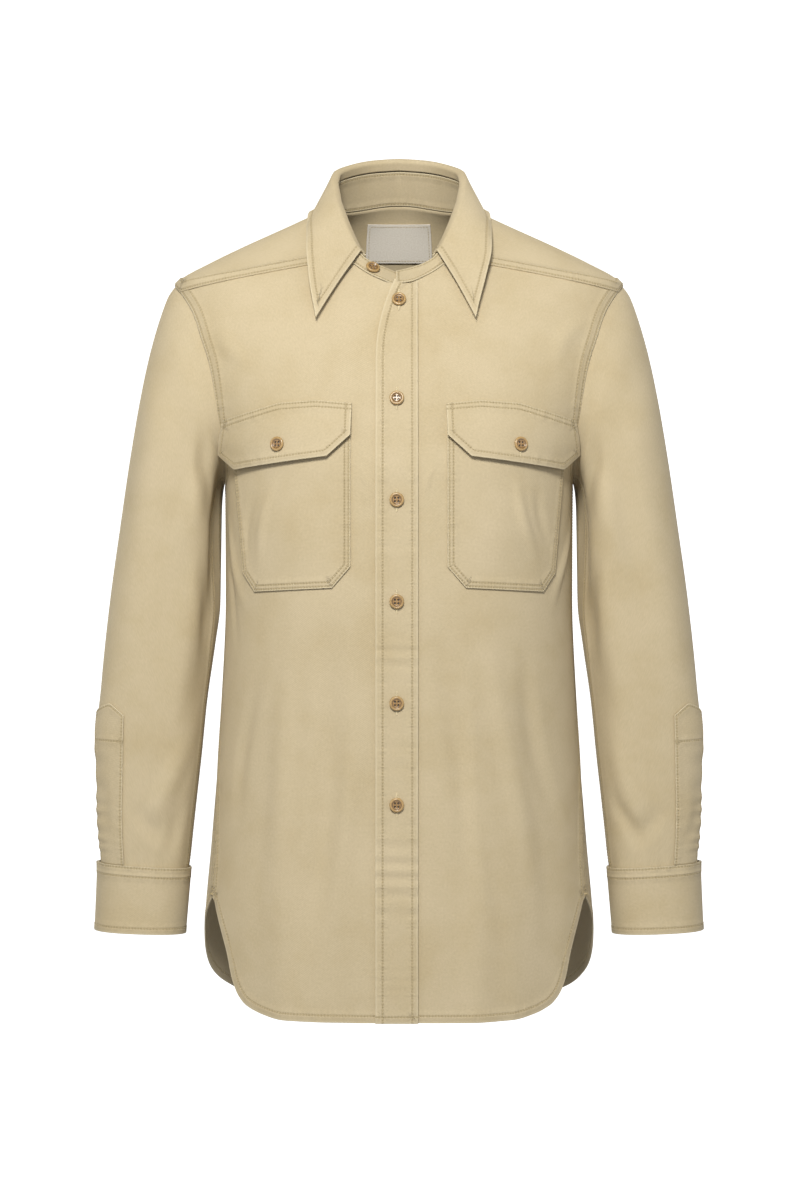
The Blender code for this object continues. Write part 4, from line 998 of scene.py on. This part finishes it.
def build_gauntlet(label):
    """A gauntlet placket: a pointed strip laid on the sleeve above the cuff, with small ripples down it."""
    degrees = GAUNTLET_ANGLES[0] + (GAUNTLET_ANGLES[-1] - GAUNTLET_ANGLES[0]) * spaced(0.029, 0.0022)[None]
    top = np.interp(-degrees, [-a for a in GAUNTLET_ANGLES], GAUNTLET_TOP_ROWS)
    share = spaced(0.158, last=False)[:, None]
    cross = GAUNTLET_CROSS_SHARE
    low = GAUNTLET_CROSS_ROW + (GAUNTLET_END_ROW + 0.03 - GAUNTLET_CROSS_ROW) * (share - cross) / (1 - cross)
    rows = np.where(share < cross, top + (GAUNTLET_CROSS_ROW - top) * share / cross, low)
    ripple = 0.0005 * np.sin(rows * 15.5 + 0.9 * np.sin(rows * 5)) * bump((degrees - 26) / 30)
    ripple = ripple * np.clip((11.9 - rows) / 0.4, 0, 1) * np.clip((rows - 8.6) / 0.5, 0, 1)
    across = int(np.argmin(np.abs(rows[:, 0] - GAUNTLET_CROSS_ROW)))
    sew("gauntlet_" + label + "_sheet", "gauntlet_" + label,
        lambda out: sleeve_surface(label, rows, degrees, LAID_GAP + ripple + out), CLOTH,
        CUTS["gauntlet"],
        sewn=[(0.0019, {"left": WHOLE, "right": WHOLE, "bottom": WHOLE})],
        free=["left", "right", "bottom"], lines=[(0, across)])


def build_stand():
    """The collar stand: a band from the neckline up, whose wearer's right end passes under the other."""
    degrees = STAND_LEFT_END + (STAND_RIGHT_END - STAND_LEFT_END) * spaced(0.430, 0.0028)[None]
    share = spaced(0.034, 0.0025)[:, None]
    degrees, share = degrees + 0 * share, share + 0 * degrees
    turn = np.radians(degrees)
    ends = {"bottom": WHOLE, "top": WHOLE, "left": WHOLE, "right": WHOLE}
    sew("collar_stand_sheet", "collar_stand",
        lambda out: stand_point(turn, share, stand_out(degrees) - DOUBLE_CLOTH + out), DOUBLE_CLOTH,
        CUTS["stand"], sewn=[(0.0022, ends)], free=list(ends), inside=(0.0022,))


def build_fall():
    """The collar fall: up from the stand, over the roll and down to its pointed leaves."""
    turns = np.radians(FALL_START + (180 - FALL_START) * spaced(0.230, 0.0028, last=False))
    turns = np.concatenate([turns, (2 * np.pi - turns)[-2::-1]])
    shares = np.concatenate([np.linspace(0, 0.45, 15)[:-1], 0.45 + 0.55 * spaced(0.060, 0.0028, first=False)])
    middle = fall_grid(turns, shares)
    cross = np.cross(np.gradient(middle, axis=0), np.gradient(middle, axis=1))
    half = cross / np.linalg.norm(cross, axis=-1, keepdims=True)
    facing = stand_point(turns, 1 + 0 * turns, 1 + 0 * turns) - stand_point(turns, 1 + 0 * turns)
    half[0] = facing * np.sign(np.sum(facing * half[0], -1, keepdims=True))
    half *= -np.sign(np.sum(facing * half[0]))
    leaf = {"left": (0.42, 1), "right": (0.42, 1), "top": WHOLE}
    sew("collar_fall_sheet", "collar_fall",
        lambda out: middle + half * (np.asarray(out) - FALL_CLOTH / 2)[..., None],
        FALL_CLOTH, CUTS["fall"], sewn=[(FALL_ROW, leaf)],
        raised=[(side, 0, FALL_ROW, FOLD_RISE) for side in leaf], free=list(leaf))


def build_band():
    """The front band: two layers laid over both fronts, with the ripples that its sewing drew up."""
    x = BAND_EDGE + (BAND_SEAM - BAND_EDGE) * spaced(0.0396, 0.0025)[None]
    share = spaced(0.700, 0.0027)[:, None]
    hem = smooth_columns(FRONT_HEM, 0.0)[0] - BAND_HEM_DROP
    neck = neckline(np.arctan2(x[0], NECK_FRONT))[:, 1] - BAND_NECK_DROP
    height = hem + (neck[None] - hem) * share
    near_top = np.clip((height - BAND_TURN_START) / (neck.max() - BAND_TURN_START), 0, 1) ** 2
    turn = front_turn(x + BAND_TOP_TURN * near_top * (BAND_SEAM - x) / (BAND_SEAM - BAND_EDGE), height)
    ripple = 0 * turn
    for middle, reach, pitch, deep in BAND_RIPPLES:
        phase = 2 * np.pi * height / pitch + 0.7 * np.sin(height * 90) + 8 * x
        ripple = ripple + deep * np.sin(phase) * bump((height - middle) / reach)
    sew("front_band_sheet", "front_band",
        lambda out: form_point(turn, height, LAID_GAP + 0.0002 + ripple + out), DOUBLE_CLOTH,
        CUTS["band"],
        sewn=[(BAND_LEFT_ROW, {"left": WHOLE}), (BAND_RIGHT_ROW, {"right": WHOLE}),
              (0.0062, {"bottom": WHOLE})],
        raised=[("left", 0, BAND_LEFT_ROW, FOLD_RISE), ("right", 0, BAND_RIGHT_ROW, FOLD_RISE)],
        free=["left", "right", "bottom"])


def build_pocket(label, side):
    """A patch pocket: rows between its two upright edges, chamfers included, with a slight belly."""
    edges = []
    for edge in (POCKET_OUTLINE[:3], POCKET_OUTLINE[3:][::-1]):
        edges.append((lengths(edge) / lengths(edge)[-1], edge))
    corners = np.union1d(edges[0][0], edges[1][0]).round(5)
    share = np.union1d(corners, spaced(0.155, 0.0026, first=False).round(5))
    inner, outer = (np.stack([np.interp(share, at, edge[:, k]) for k in (0, 1)], -1) for at, edge in edges)
    across = spaced(0.112, 0.0026)[None, :, None]
    flat = inner[:, None] * (1 - across) + outer[:, None] * across
    turn, height = side * front_turn(flat[..., 0], flat[..., 1]), flat[..., 1]
    belly = 0.0014 * bump((flat[..., 0] - 0.100) / 0.050) * bump((height + 0.310) / 0.050)
    ends = {"left": WHOLE, "right": WHOLE, "top": WHOLE}
    sew("pocket_" + label + "_sheet", "pocket_" + label,
        lambda out: form_point(turn, height, LAID_GAP + belly + out), CLOTH,
        CUTS["pocket"], sewn=[(SEAM_ROW, ends), (0.0056, ends)], free=list(ends))


def build_flap(label, side):
    """A pocket flap: rows from its sewn top edge to its chamfered free edge, drawn in at its button."""
    spots = np.union1d(spaced(0.128, 0.0026).round(5), [0.2, 0.8])
    share = spaced(0.052, 0.0026)[:, None, None]

    def spread(edge, stops):
        at = np.interp(spots, np.linspace(0, 1, len(stops)), stops)
        return np.stack([np.interp(at, np.arange(len(edge)), edge[:, k]) for k in (0, 1)], -1)

    top = spread(FLAP_TOP, (0, 0.6, 1.2, 2.0, 2.6, 3))
    low = spread(FLAP_BOTTOM, (0, 1, 1.4, 1.7, 2, 3))
    flat = top[None] * (1 - share) + low[None] * share
    turn, height = side * front_turn(flat[..., 0], flat[..., 1]), flat[..., 1]
    reach = np.hypot(flat[..., 0] - FLAP_BUTTON_X, height - FLAP_BUTTON_HEIGHT)
    down = share[..., 0]
    base = flap_out(down) + 0.0006 * bump((down - 0.55) / 0.5) - 0.0006 * bump(reach / 0.018)
    ends = {"left": WHOLE, "right": WHOLE, "top": WHOLE}
    sew("flap_" + label + "_sheet", "flap_" + label, lambda out: form_point(turn, height, base + out),
        FLAP_CLOTH, CUTS["flap"],
        sewn=[(FLAP_ROW, ends), (0.0016, {"bottom": WHOLE}), (0.0060, {"bottom": (0.05, 0.95)})],
        raised=[(edge, 0, FLAP_ROW, FOLD_RISE) for edge in ends], free=[*ends, "bottom"])


def build_label():
    """The bare neck label: a small sheet on the inside of the yoke, sewn all round."""
    x = LABEL_WIDTH * (spaced(LABEL_WIDTH, 0.003)[None] - 0.5)
    height = LABEL_BOTTOM + (LABEL_TOP - LABEL_BOTTOM) * spaced(0.038, 0.003)[:, None]
    _, _, back, _ = torso(height[:, 0])
    turn = np.pi - np.arctan2(x, back[:, None])
    height = height + 0 * turn
    ends = {"left": WHOLE, "right": WHOLE, "bottom": WHOLE, "top": WHOLE}
    near = CLOTH + LAID_GAP
    sew("label_sheet", "neck_label", lambda out: form_point(turn, height, -near - np.asarray(out)),
        LABEL_CLOTH_WALL, CUTS["label"], sewn=[(0.0026, ends)], free=list(ends), material="label")


def build_button(name, face, normal):
    """A turned four-hole button: a profile carried round its axis, sunk inside a rim, with four pits whose
    depth is a slope of the distance from each hole's middle."""
    flat = [(0.02 + 0.04 * k, 0.60) for k in range(13)]
    profile = np.array([
        (0.00, 0.60), *flat, (0.54, 0.62), (0.60, 0.70), (0.66, 0.86), (0.72, 0.96), (0.79, 1.00),
        (0.86, 0.98), (0.93, 0.90), (0.98, 0.76), (1.00, 0.58), (0.98, 0.30), (0.92, 0.12), (0.80, 0.02),
        (0.50, 0.00), (0.00, 0.00),
    ])
    steps = 64
    angle = np.arange(steps) * 2 * np.pi / steps
    reach = BUTTON_RADIUS * profile[:, :1]
    x, y = reach * np.cos(angle), reach * np.sin(angle)
    hole = 0.0016
    gap = np.hypot(np.abs(x) - hole, np.abs(y) - hole)
    top = (np.arange(len(profile)) < 15)[:, None]
    pit = np.clip((0.00105 - gap) / 0.0003, 0, 1) * top
    z = BUTTON_THICKNESS * profile[:, 1:] - 0.0011 * pit
    normal = normal / np.linalg.norm(normal)
    across = np.cross([0, 0, 1.0], normal)
    across /= np.linalg.norm(across)
    up = np.cross(normal, across)
    points = face + across * x[..., None] + up * y[..., None] + normal * (z[..., None] + SEAM_GAP)
    rows = len(profile)
    index = np.arange(rows * steps).reshape(rows, steps)
    index[0], index[-1] = index[0, 0], index[-1, 0]
    ring = np.concatenate([index, index[:, :1]], 1)
    faces = np.stack([ring[:-1, :-1], ring[:-1, 1:], ring[1:, 1:], ring[1:, :-1]], -1).reshape(-1, 4)[:, ::-1]
    faces = [tuple(dict.fromkeys(face)) for face in faces.tolist()]
    mesh = bpy.data.meshes.new(name)
    mesh.from_pydata(points.reshape(-1, 3).tolist(), [], faces)
    # The pits' mask also carries the painted shade in the holes
    attribute = mesh.attributes.new("pit", "FLOAT", "POINT")
    attribute.data.foreach_set("value", (pit + 0 * x).ravel().astype(np.float32))
    attribute = mesh.attributes.new("rim", "FLOAT", "POINT")
    attribute.data.foreach_set("value", (profile[:, :1] + 0 * x).ravel().astype(np.float32))
    mesh.validate()
    piece = place_mesh(name + "_turned", mesh, MATERIALS["button"])
    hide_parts(name)
    return across, up, normal


def build_buttonhole(name, face, across, up, normal, half=0.0112):
    """The part of a buttonhole that shows past its button: two satin bars that draw to a point."""
    runs = []
    for side in (-1, 1):
        share = np.linspace(-1, 1, 80)[:, None]
        line = face + up * share * half + across * side * 0.0008 * (1 - share**2) + normal * 0.0001
        facing = np.broadcast_to(normal, line.shape)
        runs.append(stitches(line, facing, pitch=0.0005, length=0.0013, width=0.0006, turned=True))
    add_thread(name + "_hole_thread", runs, MATERIALS["hole thread"])


def build_buttons():
    """Six buttons down the band, and one on each flap, each cuff and the stand."""
    band_out = LAID_GAP + DOUBLE_CLOTH + 0.0003
    for k in range(6):
        height = TOP_BUTTON_HEIGHT - BUTTON_SPACING * k
        turn = front_turn(0.0 if k == 0 else FRONT_BUTTON_X, height)
        face = form_point(turn, height, band_out)
        frame_of = build_button(f"front_button_{k + 1}", face, form_point(turn, height, 0.1) - face)
        build_buttonhole(f"front_button_{k + 1}", face, *frame_of)
    for side, label in ((1, "left"), (-1, "right")):
        x, height, step = FLAP_BUTTON_X, FLAP_BUTTON_HEIGHT, BUTTON_RADIUS
        along = flap_face(side, x + step, height) - flap_face(side, x - step, height)
        up = flap_face(side, x, height + step) - flap_face(side, x, height - step)
        normal = side * np.cross(along, up)
        face = flap_face(side, x, height)
        frame_of = build_button("flap_button_" + label, face, normal)
        build_buttonhole("flap_button_" + label, face, *frame_of)
        out = 0.0003 + 2 * DOUBLE_CLOTH + 2 * SEAM_GAP
        face = sleeve_surface(label, CUFF_BUTTON_ROW, CUFF_BUTTON_ANGLE, out)
        far = sleeve_surface(label, CUFF_BUTTON_ROW, CUFF_BUTTON_ANGLE, 0.1)
        build_button("cuff_button_" + label, face, far - face)
    degrees = np.array([360.0 + STAND_BUTTON_TURN])
    turn, half = np.radians(degrees), np.array([0.5])
    face = stand_point(turn, half, stand_out(degrees) + SEAM_GAP / 2)[0]
    along = stand_point(turn + 0.08, half)[0] - stand_point(turn - 0.08, half)[0]
    up = stand_point(turn, half + 0.1)[0] - stand_point(turn, half - 0.1)[0]
    build_button("stand_button", face, np.cross(along, up))


def build_bartacks():
    """Short dense bars of thread where the side seams open into the vents."""
    runs = []
    for side in (-1, 1):
        turn = side * np.radians(VENT_TURN + np.linspace(-1.2, 1.2, 20))
        height = np.full(20, VENT_HEIGHT + 0.0015)
        line = form_point(turn, height, 0.0010)
        facing = form_point(turn, height, 0.1) - line
        runs.append(stitches(line, facing, pitch=0.0006, length=0.0024, width=0.0008, turned=True))
    add_thread("vent_bartack_thread", runs, MATERIALS["thread"])


def node(tree, kind, links=(), inputs=(), **settings):
    """Adds a node, sets its settings and unlinked inputs, and links its other inputs."""
    made = tree.nodes.new(kind)
    for key, value in settings.items():
        setattr(made, key, value)
    for key, value in inputs:
        made.inputs[key].default_value = value
    for key, source in links:
        tree.links.new(source, made.inputs[key])
    return made


def ramp(tree, source, stops):
    """A colour ramp with the given (place, colour) stops."""
    made = node(tree, "ShaderNodeValToRGB", [(0, source)])
    points = made.color_ramp.elements
    points[0].position, points[0].color = stops[0]
    points[1].position, points[1].color = stops[-1]
    for place, colour in stops[1:-1]:
        points.new(place).color = colour
    return made.outputs["Color"]


def twill_material():
    """Washed cotton twill, piece-dyed khaki: matt, softly mottled where washing lightened it, paler on folded
    edges from wear and a painted highlight, with fine slanting ribs, painted shade in beads along its stitch
    grooves, and drawn up in small puckers along its sewing. The real ribs are 0.6 mm apart, too fine to show,
    so they are drawn 1.5 mm apart and faint."""
    made = bpy.data.materials.new("Washed khaki cotton twill")
    made.use_nodes = True
    tree = made.node_tree
    shader = tree.nodes["Principled BSDF"]
    shader.inputs["Roughness"].default_value = 0.88
    shader.inputs["Specular IOR Level"].default_value = 0.25
    shader.inputs["Sheen Weight"].default_value = 0.18
    shader.inputs["Sheen Roughness"].default_value = 0.5
    shader.inputs["Sheen Tint"].default_value = linear("#F2E6C8")
    cloth = node(tree, "ShaderNodeUVMap", uv_map="cloth").outputs["UV"]
    place = node(tree, "ShaderNodeTexCoord").outputs["Object"]
    wash = node(tree, "ShaderNodeTexNoise", [("Vector", place)],
                [("Scale", 1 / 0.055), ("Detail", 4.0), ("Roughness", 0.6)]).outputs["Fac"]
    grain = node(tree, "ShaderNodeTexNoise", [("Vector", cloth)],
                 [("Scale", 1 / 0.0022), ("Detail", 3.0), ("Roughness", 0.7)]).outputs["Fac"]
    ribs = node(tree, "ShaderNodeMapping", [("Vector", cloth)], [("Rotation", (0, 0, math.radians(58)))])
    ribs = node(tree, "ShaderNodeTexWave", [("Vector", ribs.outputs["Vector"])],
                [("Scale", 2 * math.pi / 20 / 0.0015), ("Distortion", 1.5), ("Detail", 2.0),
                 ("Detail Scale", 2.0)])
    seam = node(tree, "ShaderNodeAttribute", attribute_name="seam").outputs["Fac"]
    along = node(tree, "ShaderNodeAttribute", attribute_name="along").outputs["Fac"]
    edge = node(tree, "ShaderNodeAttribute", attribute_name="edge").outputs["Fac"]
    dyed = ramp(tree, wash, [(0.30, linear(KHAKI_DEEP)), (0.52, linear(KHAKI)), (0.74, linear(KHAKI_PALE))])
    flecks = node(tree, "ShaderNodeMapRange", [("Value", grain)],
                  [("From Min", 0.3), ("From Max", 0.7), ("To Min", 0.93), ("To Max", 1.06)])
    flecks = flecks.outputs["Result"]
    coloured = mixed(tree, "MULTIPLY", dyed, flecks, 1.0)
    lines = node(tree, "ShaderNodeMapRange", [("Value", ribs.outputs["Fac"])],
                 [("To Min", 0.975), ("To Max", 1.015)]).outputs["Result"]
    coloured = mixed(tree, "MULTIPLY", coloured, lines, 1.0)
    pucker = node(tree, "ShaderNodeTexNoise", [("W", along)],
                  [("Scale", 1 / 7.0), ("Detail", 2.0), ("Roughness", 0.5)], noise_dimensions="1D")
    pucker = pucker.outputs["Fac"]
    drawn_up = node(tree, "ShaderNodeMapRange", [("Value", seam)],
                    [("From Min", 0.0), ("From Max", 7.0), ("To Min", 1.0), ("To Max", 0.0)],
                    interpolation_type="SMOOTHSTEP").outputs["Result"]
    # Folded edges paler: partly wear, partly a painted highlight
    wear_and_highlight = node(tree, "ShaderNodeMapRange", [("Value", edge)],
                [("From Min", 0.4), ("From Max", 2.6), ("To Min", 0.45), ("To Max", 0.0)],
                interpolation_type="SMOOTHSTEP").outputs["Result"]
    coloured = mixed(tree, "MIX", coloured, linear(KHAKI_EDGE_WEAR_AND_HIGHLIGHT), wear_and_highlight)
    groove = node(tree, "ShaderNodeMapRange", [("Value", seam)],
                  [("From Min", 0.2), ("From Max", 1.6), ("To Min", 0.8), ("To Max", 0.0)],
                  interpolation_type="SMOOTHSTEP").outputs["Result"]
    # Painted shade in the stitch grooves: a dark bead at each stitch along every sewn line
    groove_shade_beads = node(tree, "ShaderNodeMath", [(0, along)], [(1, 2 * math.pi / 1000 / THREAD_PITCH)],
                 operation="MULTIPLY")
    groove_shade_beads = node(tree, "ShaderNodeMath", [(0, groove_shade_beads.outputs[0])], operation="SINE").outputs[0]
    groove_shade_beads = node(tree, "ShaderNodeMapRange", [("Value", groove_shade_beads)],
                 [("From Min", -1.0), ("To Min", 0.25), ("To Max", 1.0)]).outputs["Result"]
    groove_shade_beads = node(tree, "ShaderNodeMath", [(0, groove), (1, groove_shade_beads)], operation="MULTIPLY").outputs[0]
    coloured = mixed(tree, "MIX", coloured, linear(KHAKI_GROOVE_SHADE), groove_shade_beads)
    tree.links.new(coloured, shader.inputs["Base Color"])
    rise = node(tree, "ShaderNodeMath", [(0, pucker), (1, drawn_up)], operation="MULTIPLY").outputs[0]
    sunk = node(tree, "ShaderNodeMath", [(0, groove)], [(1, -0.35)], operation="MULTIPLY").outputs[0]
    rise = node(tree, "ShaderNodeMath", [(0, rise), (1, sunk)], operation="ADD").outputs[0]
    soft = node(tree, "ShaderNodeBump", [("Height", rise)], [("Strength", 0.8), ("Distance", 0.0013)])
    fine = node(tree, "ShaderNodeMath", [(0, ribs.outputs["Fac"]), (1, grain)], operation="ADD").outputs[0]
    fine = node(tree, "ShaderNodeBump", [("Height", fine), ("Normal", soft.outputs["Normal"])],
                [("Strength", 0.35), ("Distance", 0.00012)])
    tree.links.new(fine.outputs["Normal"], shader.inputs["Normal"])
    return made


def mixed(tree, kind, first, second, factor):
    """A colour mix. Each of the three is a socket or a value."""
    made = node(tree, "ShaderNodeMix", data_type="RGBA", blend_type=kind)
    for socket, value in ((made.inputs[0], factor), (made.inputs[6], first), (made.inputs[7], second)):
        if isinstance(value, bpy.types.NodeSocket):
            tree.links.new(value, socket)
        else:
            socket.default_value = value
    return made.outputs[2]


def thread_material(name, colour):
    """Cotton-wrapped polyester sewing thread with a slight sheen."""
    made = bpy.data.materials.new(name)
    made.use_nodes = True
    shader = made.node_tree.nodes["Principled BSDF"]
    shader.inputs["Base Color"].default_value = linear(colour)
    shader.inputs["Roughness"].default_value = 0.6
    shader.inputs["Sheen Weight"].default_value = 0.2
    return made


def label_material():
    """Woven cotton label cloth: a pale warm grey plain weave, matt. The real threads are 0.3 mm apart, too
    fine to show, so they are drawn 1.2 mm apart."""
    made = bpy.data.materials.new("Woven cotton label")
    made.use_nodes = True
    tree = made.node_tree
    shader = tree.nodes["Principled BSDF"]
    shader.inputs["Roughness"].default_value = 0.9
    cloth = node(tree, "ShaderNodeUVMap", uv_map="cloth").outputs["UV"]
    weave = node(tree, "ShaderNodeTexNoise", [("Vector", cloth)],
                 [("Scale", 1 / 0.0012), ("Detail", 2.0)]).outputs["Fac"]
    colour = ramp(tree, weave, [(0.3, linear("#C9C2B6")), (0.7, linear("#DAD5CB"))])
    tree.links.new(colour, shader.inputs["Base Color"])
    return made


def button_material():
    """Polyester turned and polished to look like horn: warm brown, streaked, paler on the rim, under a clear
    gloss. Painted shade darkens a ring at the foot of the rim's inner wall and fills the four holes."""
    made = bpy.data.materials.new("Horn-look polyester")
    made.use_nodes = True
    tree = made.node_tree
    shader = tree.nodes["Principled BSDF"]
    shader.inputs["Roughness"].default_value = 0.38
    shader.inputs["Coat Weight"].default_value = 0.3
    shader.inputs["Coat Roughness"].default_value = 0.2
    place = node(tree, "ShaderNodeTexCoord").outputs["Object"]
    streaks = node(tree, "ShaderNodeTexNoise", [("Vector", place)],
                   [("Scale", 1 / 0.004), ("Detail", 3.0), ("Distortion", 1.5)]).outputs["Fac"]
    browns = [(0.3, linear("#73552A")), (0.55, linear("#8C6A38")), (0.75, linear("#A07E48"))]
    body = ramp(tree, streaks, browns)
    rim = node(tree, "ShaderNodeAttribute", attribute_name="rim").outputs["Fac"]
    pale = node(tree, "ShaderNodeMapRange", [("Value", rim)],
                [("From Min", 0.66), ("From Max", 0.80), ("To Min", 0.0), ("To Max", 0.35)]).outputs["Result"]
    # Painted shade: a dark ring at the foot of the rim's inner wall, where the dish meets the rim
    ring = node(tree, "ShaderNodeMapRange", [("Value", rim)],
                [("From Min", 0.50), ("From Max", 0.60), ("To Min", 0.0), ("To Max", 1.0)]).outputs["Result"]
    ring_end = node(tree, "ShaderNodeMapRange", [("Value", rim)],
                    [("From Min", 0.60), ("From Max", 0.70), ("To Min", 0.7), ("To Max", 0.0)])
    ring = node(tree, "ShaderNodeMath", [(0, ring), (1, ring_end.outputs["Result"])], operation="MULTIPLY")
    ring = ring.outputs[0]
    # Painted shade in the four pits, which stand for the button's holes
    pit = node(tree, "ShaderNodeAttribute", attribute_name="pit").outputs["Fac"]
    colour = mixed(tree, "MIX", body, linear("#C4A56A"), pale)
    colour = mixed(tree, "MIX", colour, linear("#3E2A12"), ring)
    colour = mixed(tree, "MIX", colour, linear("#1E140A"), pit)
    tree.links.new(colour, shader.inputs["Base Color"])
    return made


def stage_material(name, colour, glow):
    """A matt surface that glows a little, so that it stays pale away from the lights."""
    made = bpy.data.materials.new(name)
    made.use_nodes = True
    shader = made.node_tree.nodes["Principled BSDF"]
    shader.inputs["Base Color"].default_value = linear(colour)
    shader.inputs["Roughness"].default_value = 1.0
    shader.inputs["Emission Color"].default_value = (1, 1, 1, 1)
    shader.inputs["Emission Strength"].default_value = glow
    return made


def build_stage():
    """A pale floor that curves up into a pale round wall: a profile carried round the upright axis."""
    bend = np.linspace(0, math.pi / 2, 16)
    floor, far, radius = -1.55, 9.0, 2.0
    reach = np.concatenate([[0.0], far - radius + radius * np.sin(bend), [far]])
    height = np.concatenate([[floor], floor + radius * (1 - np.cos(bend)), [9.0]])
    angle = np.linspace(0, 2 * math.pi, 97)
    points = np.stack([reach[:, None] * np.cos(angle), reach[:, None] * np.sin(angle),
                       height[:, None] + 0 * angle], -1)
    index = np.arange(points[..., 0].size).reshape(points.shape[:2])
    faces = np.stack([index[:-1, :-1], index[:-1, 1:], index[1:, 1:], index[1:, :-1]], -1)
    mesh = bpy.data.meshes.new("backdrop")
    mesh.from_pydata(points.reshape(-1, 3).tolist(), [], faces.reshape(-1, 4)[:, ::-1].tolist())
    mesh.materials.append(stage_material("Pale backdrop", "#F7F6F3", BACKDROP_GLOW))
    mesh.shade_smooth()
    backdrop = bpy.data.objects.new("backdrop", mesh)
    bpy.context.scene.collection.objects.link(backdrop)
    backdrop.visible_diffuse = False


def add_light(name, place, target, size, power, colour="#FFFFFF"):
    """A round soft light at a place, turned towards a target."""
    data = bpy.data.lights.new(name, "AREA")
    data.shape = "DISK"
    data.size = size
    data.energy = power
    data.color = linear(colour)[:3]
    light = bpy.data.objects.new(name, data)
    bpy.context.scene.collection.objects.link(light)
    light.location = place
    toward = np.array(target, float) - np.array(place, float)
    light.rotation_euler = (math.atan2(math.hypot(toward[0], toward[1]), -toward[2]), 0,
                            math.atan2(toward[1], toward[0]) - math.pi / 2)


def build_lights():
    """Soft studio light: a broad key from above the camera, a fill on each side and a pale surround."""
    world = bpy.data.worlds.new("Pale studio")
    bpy.context.scene.world = world
    world.use_nodes = True
    world.node_tree.nodes["Background"].inputs["Color"].default_value = linear("#FFFFFF")
    world.node_tree.nodes["Background"].inputs["Strength"].default_value = WORLD_LIGHT
    add_light("key", (-0.25, -2.4, 1.15), (0, 0, -0.3), 0.7, KEY_POWER, "#FFFDF8")
    add_light("fill left", (-2.4, -2.0, 0.1), (0, 0, -0.4), 1.4, SIDE_POWER)
    add_light("fill right", (2.4, -2.0, 0.1), (0, 0, -0.4), 1.4, SIDE_POWER * 0.9)


def build_camera():
    """The photograph's view: level, straight in front, 3 m away."""
    data = bpy.data.cameras.new("camera")
    data.sensor_fit = "VERTICAL"
    data.sensor_height = 36
    data.lens = 36 * CAMERA_DISTANCE / (PHOTO_ROWS * PIXEL)
    data.shift_x = 1 / PHOTO_ROWS
    data.clip_start, data.clip_end = 0.1, 30
    camera = bpy.data.objects.new("camera", data)
    bpy.context.scene.collection.objects.link(camera)
    camera.location = (0, -CAMERA_DISTANCE, CAMERA_HEIGHT)
    camera.rotation_euler = (math.pi / 2, 0, 0)
    bpy.context.scene.camera = camera


MATERIALS = {
    "twill": twill_material(),
    "thread": thread_material("Khaki sewing thread", "#AE9C72"),
    "hole thread": thread_material("Pale buttonhole thread", "#CDBF9C"),
    "label": label_material(),
    "button": button_material(),
}
build_front("left", 1, LEFT_FRONT_EDGE)
build_front("right", -1, -RIGHT_FRONT_EDGE)
build_back()
build_yoke()
for label, side in (("left", 1), ("right", -1)):
    build_sleeve(label)
    build_cuff(label)
    build_gauntlet(label)
    build_pocket(label, side)
    build_flap(label, side)
build_stand()
build_fall()
build_band()
build_label()
build_buttons()
build_bartacks()
build_stage()
build_lights()
build_camera()
bpy.context.scene.view_settings.view_transform = "Standard"
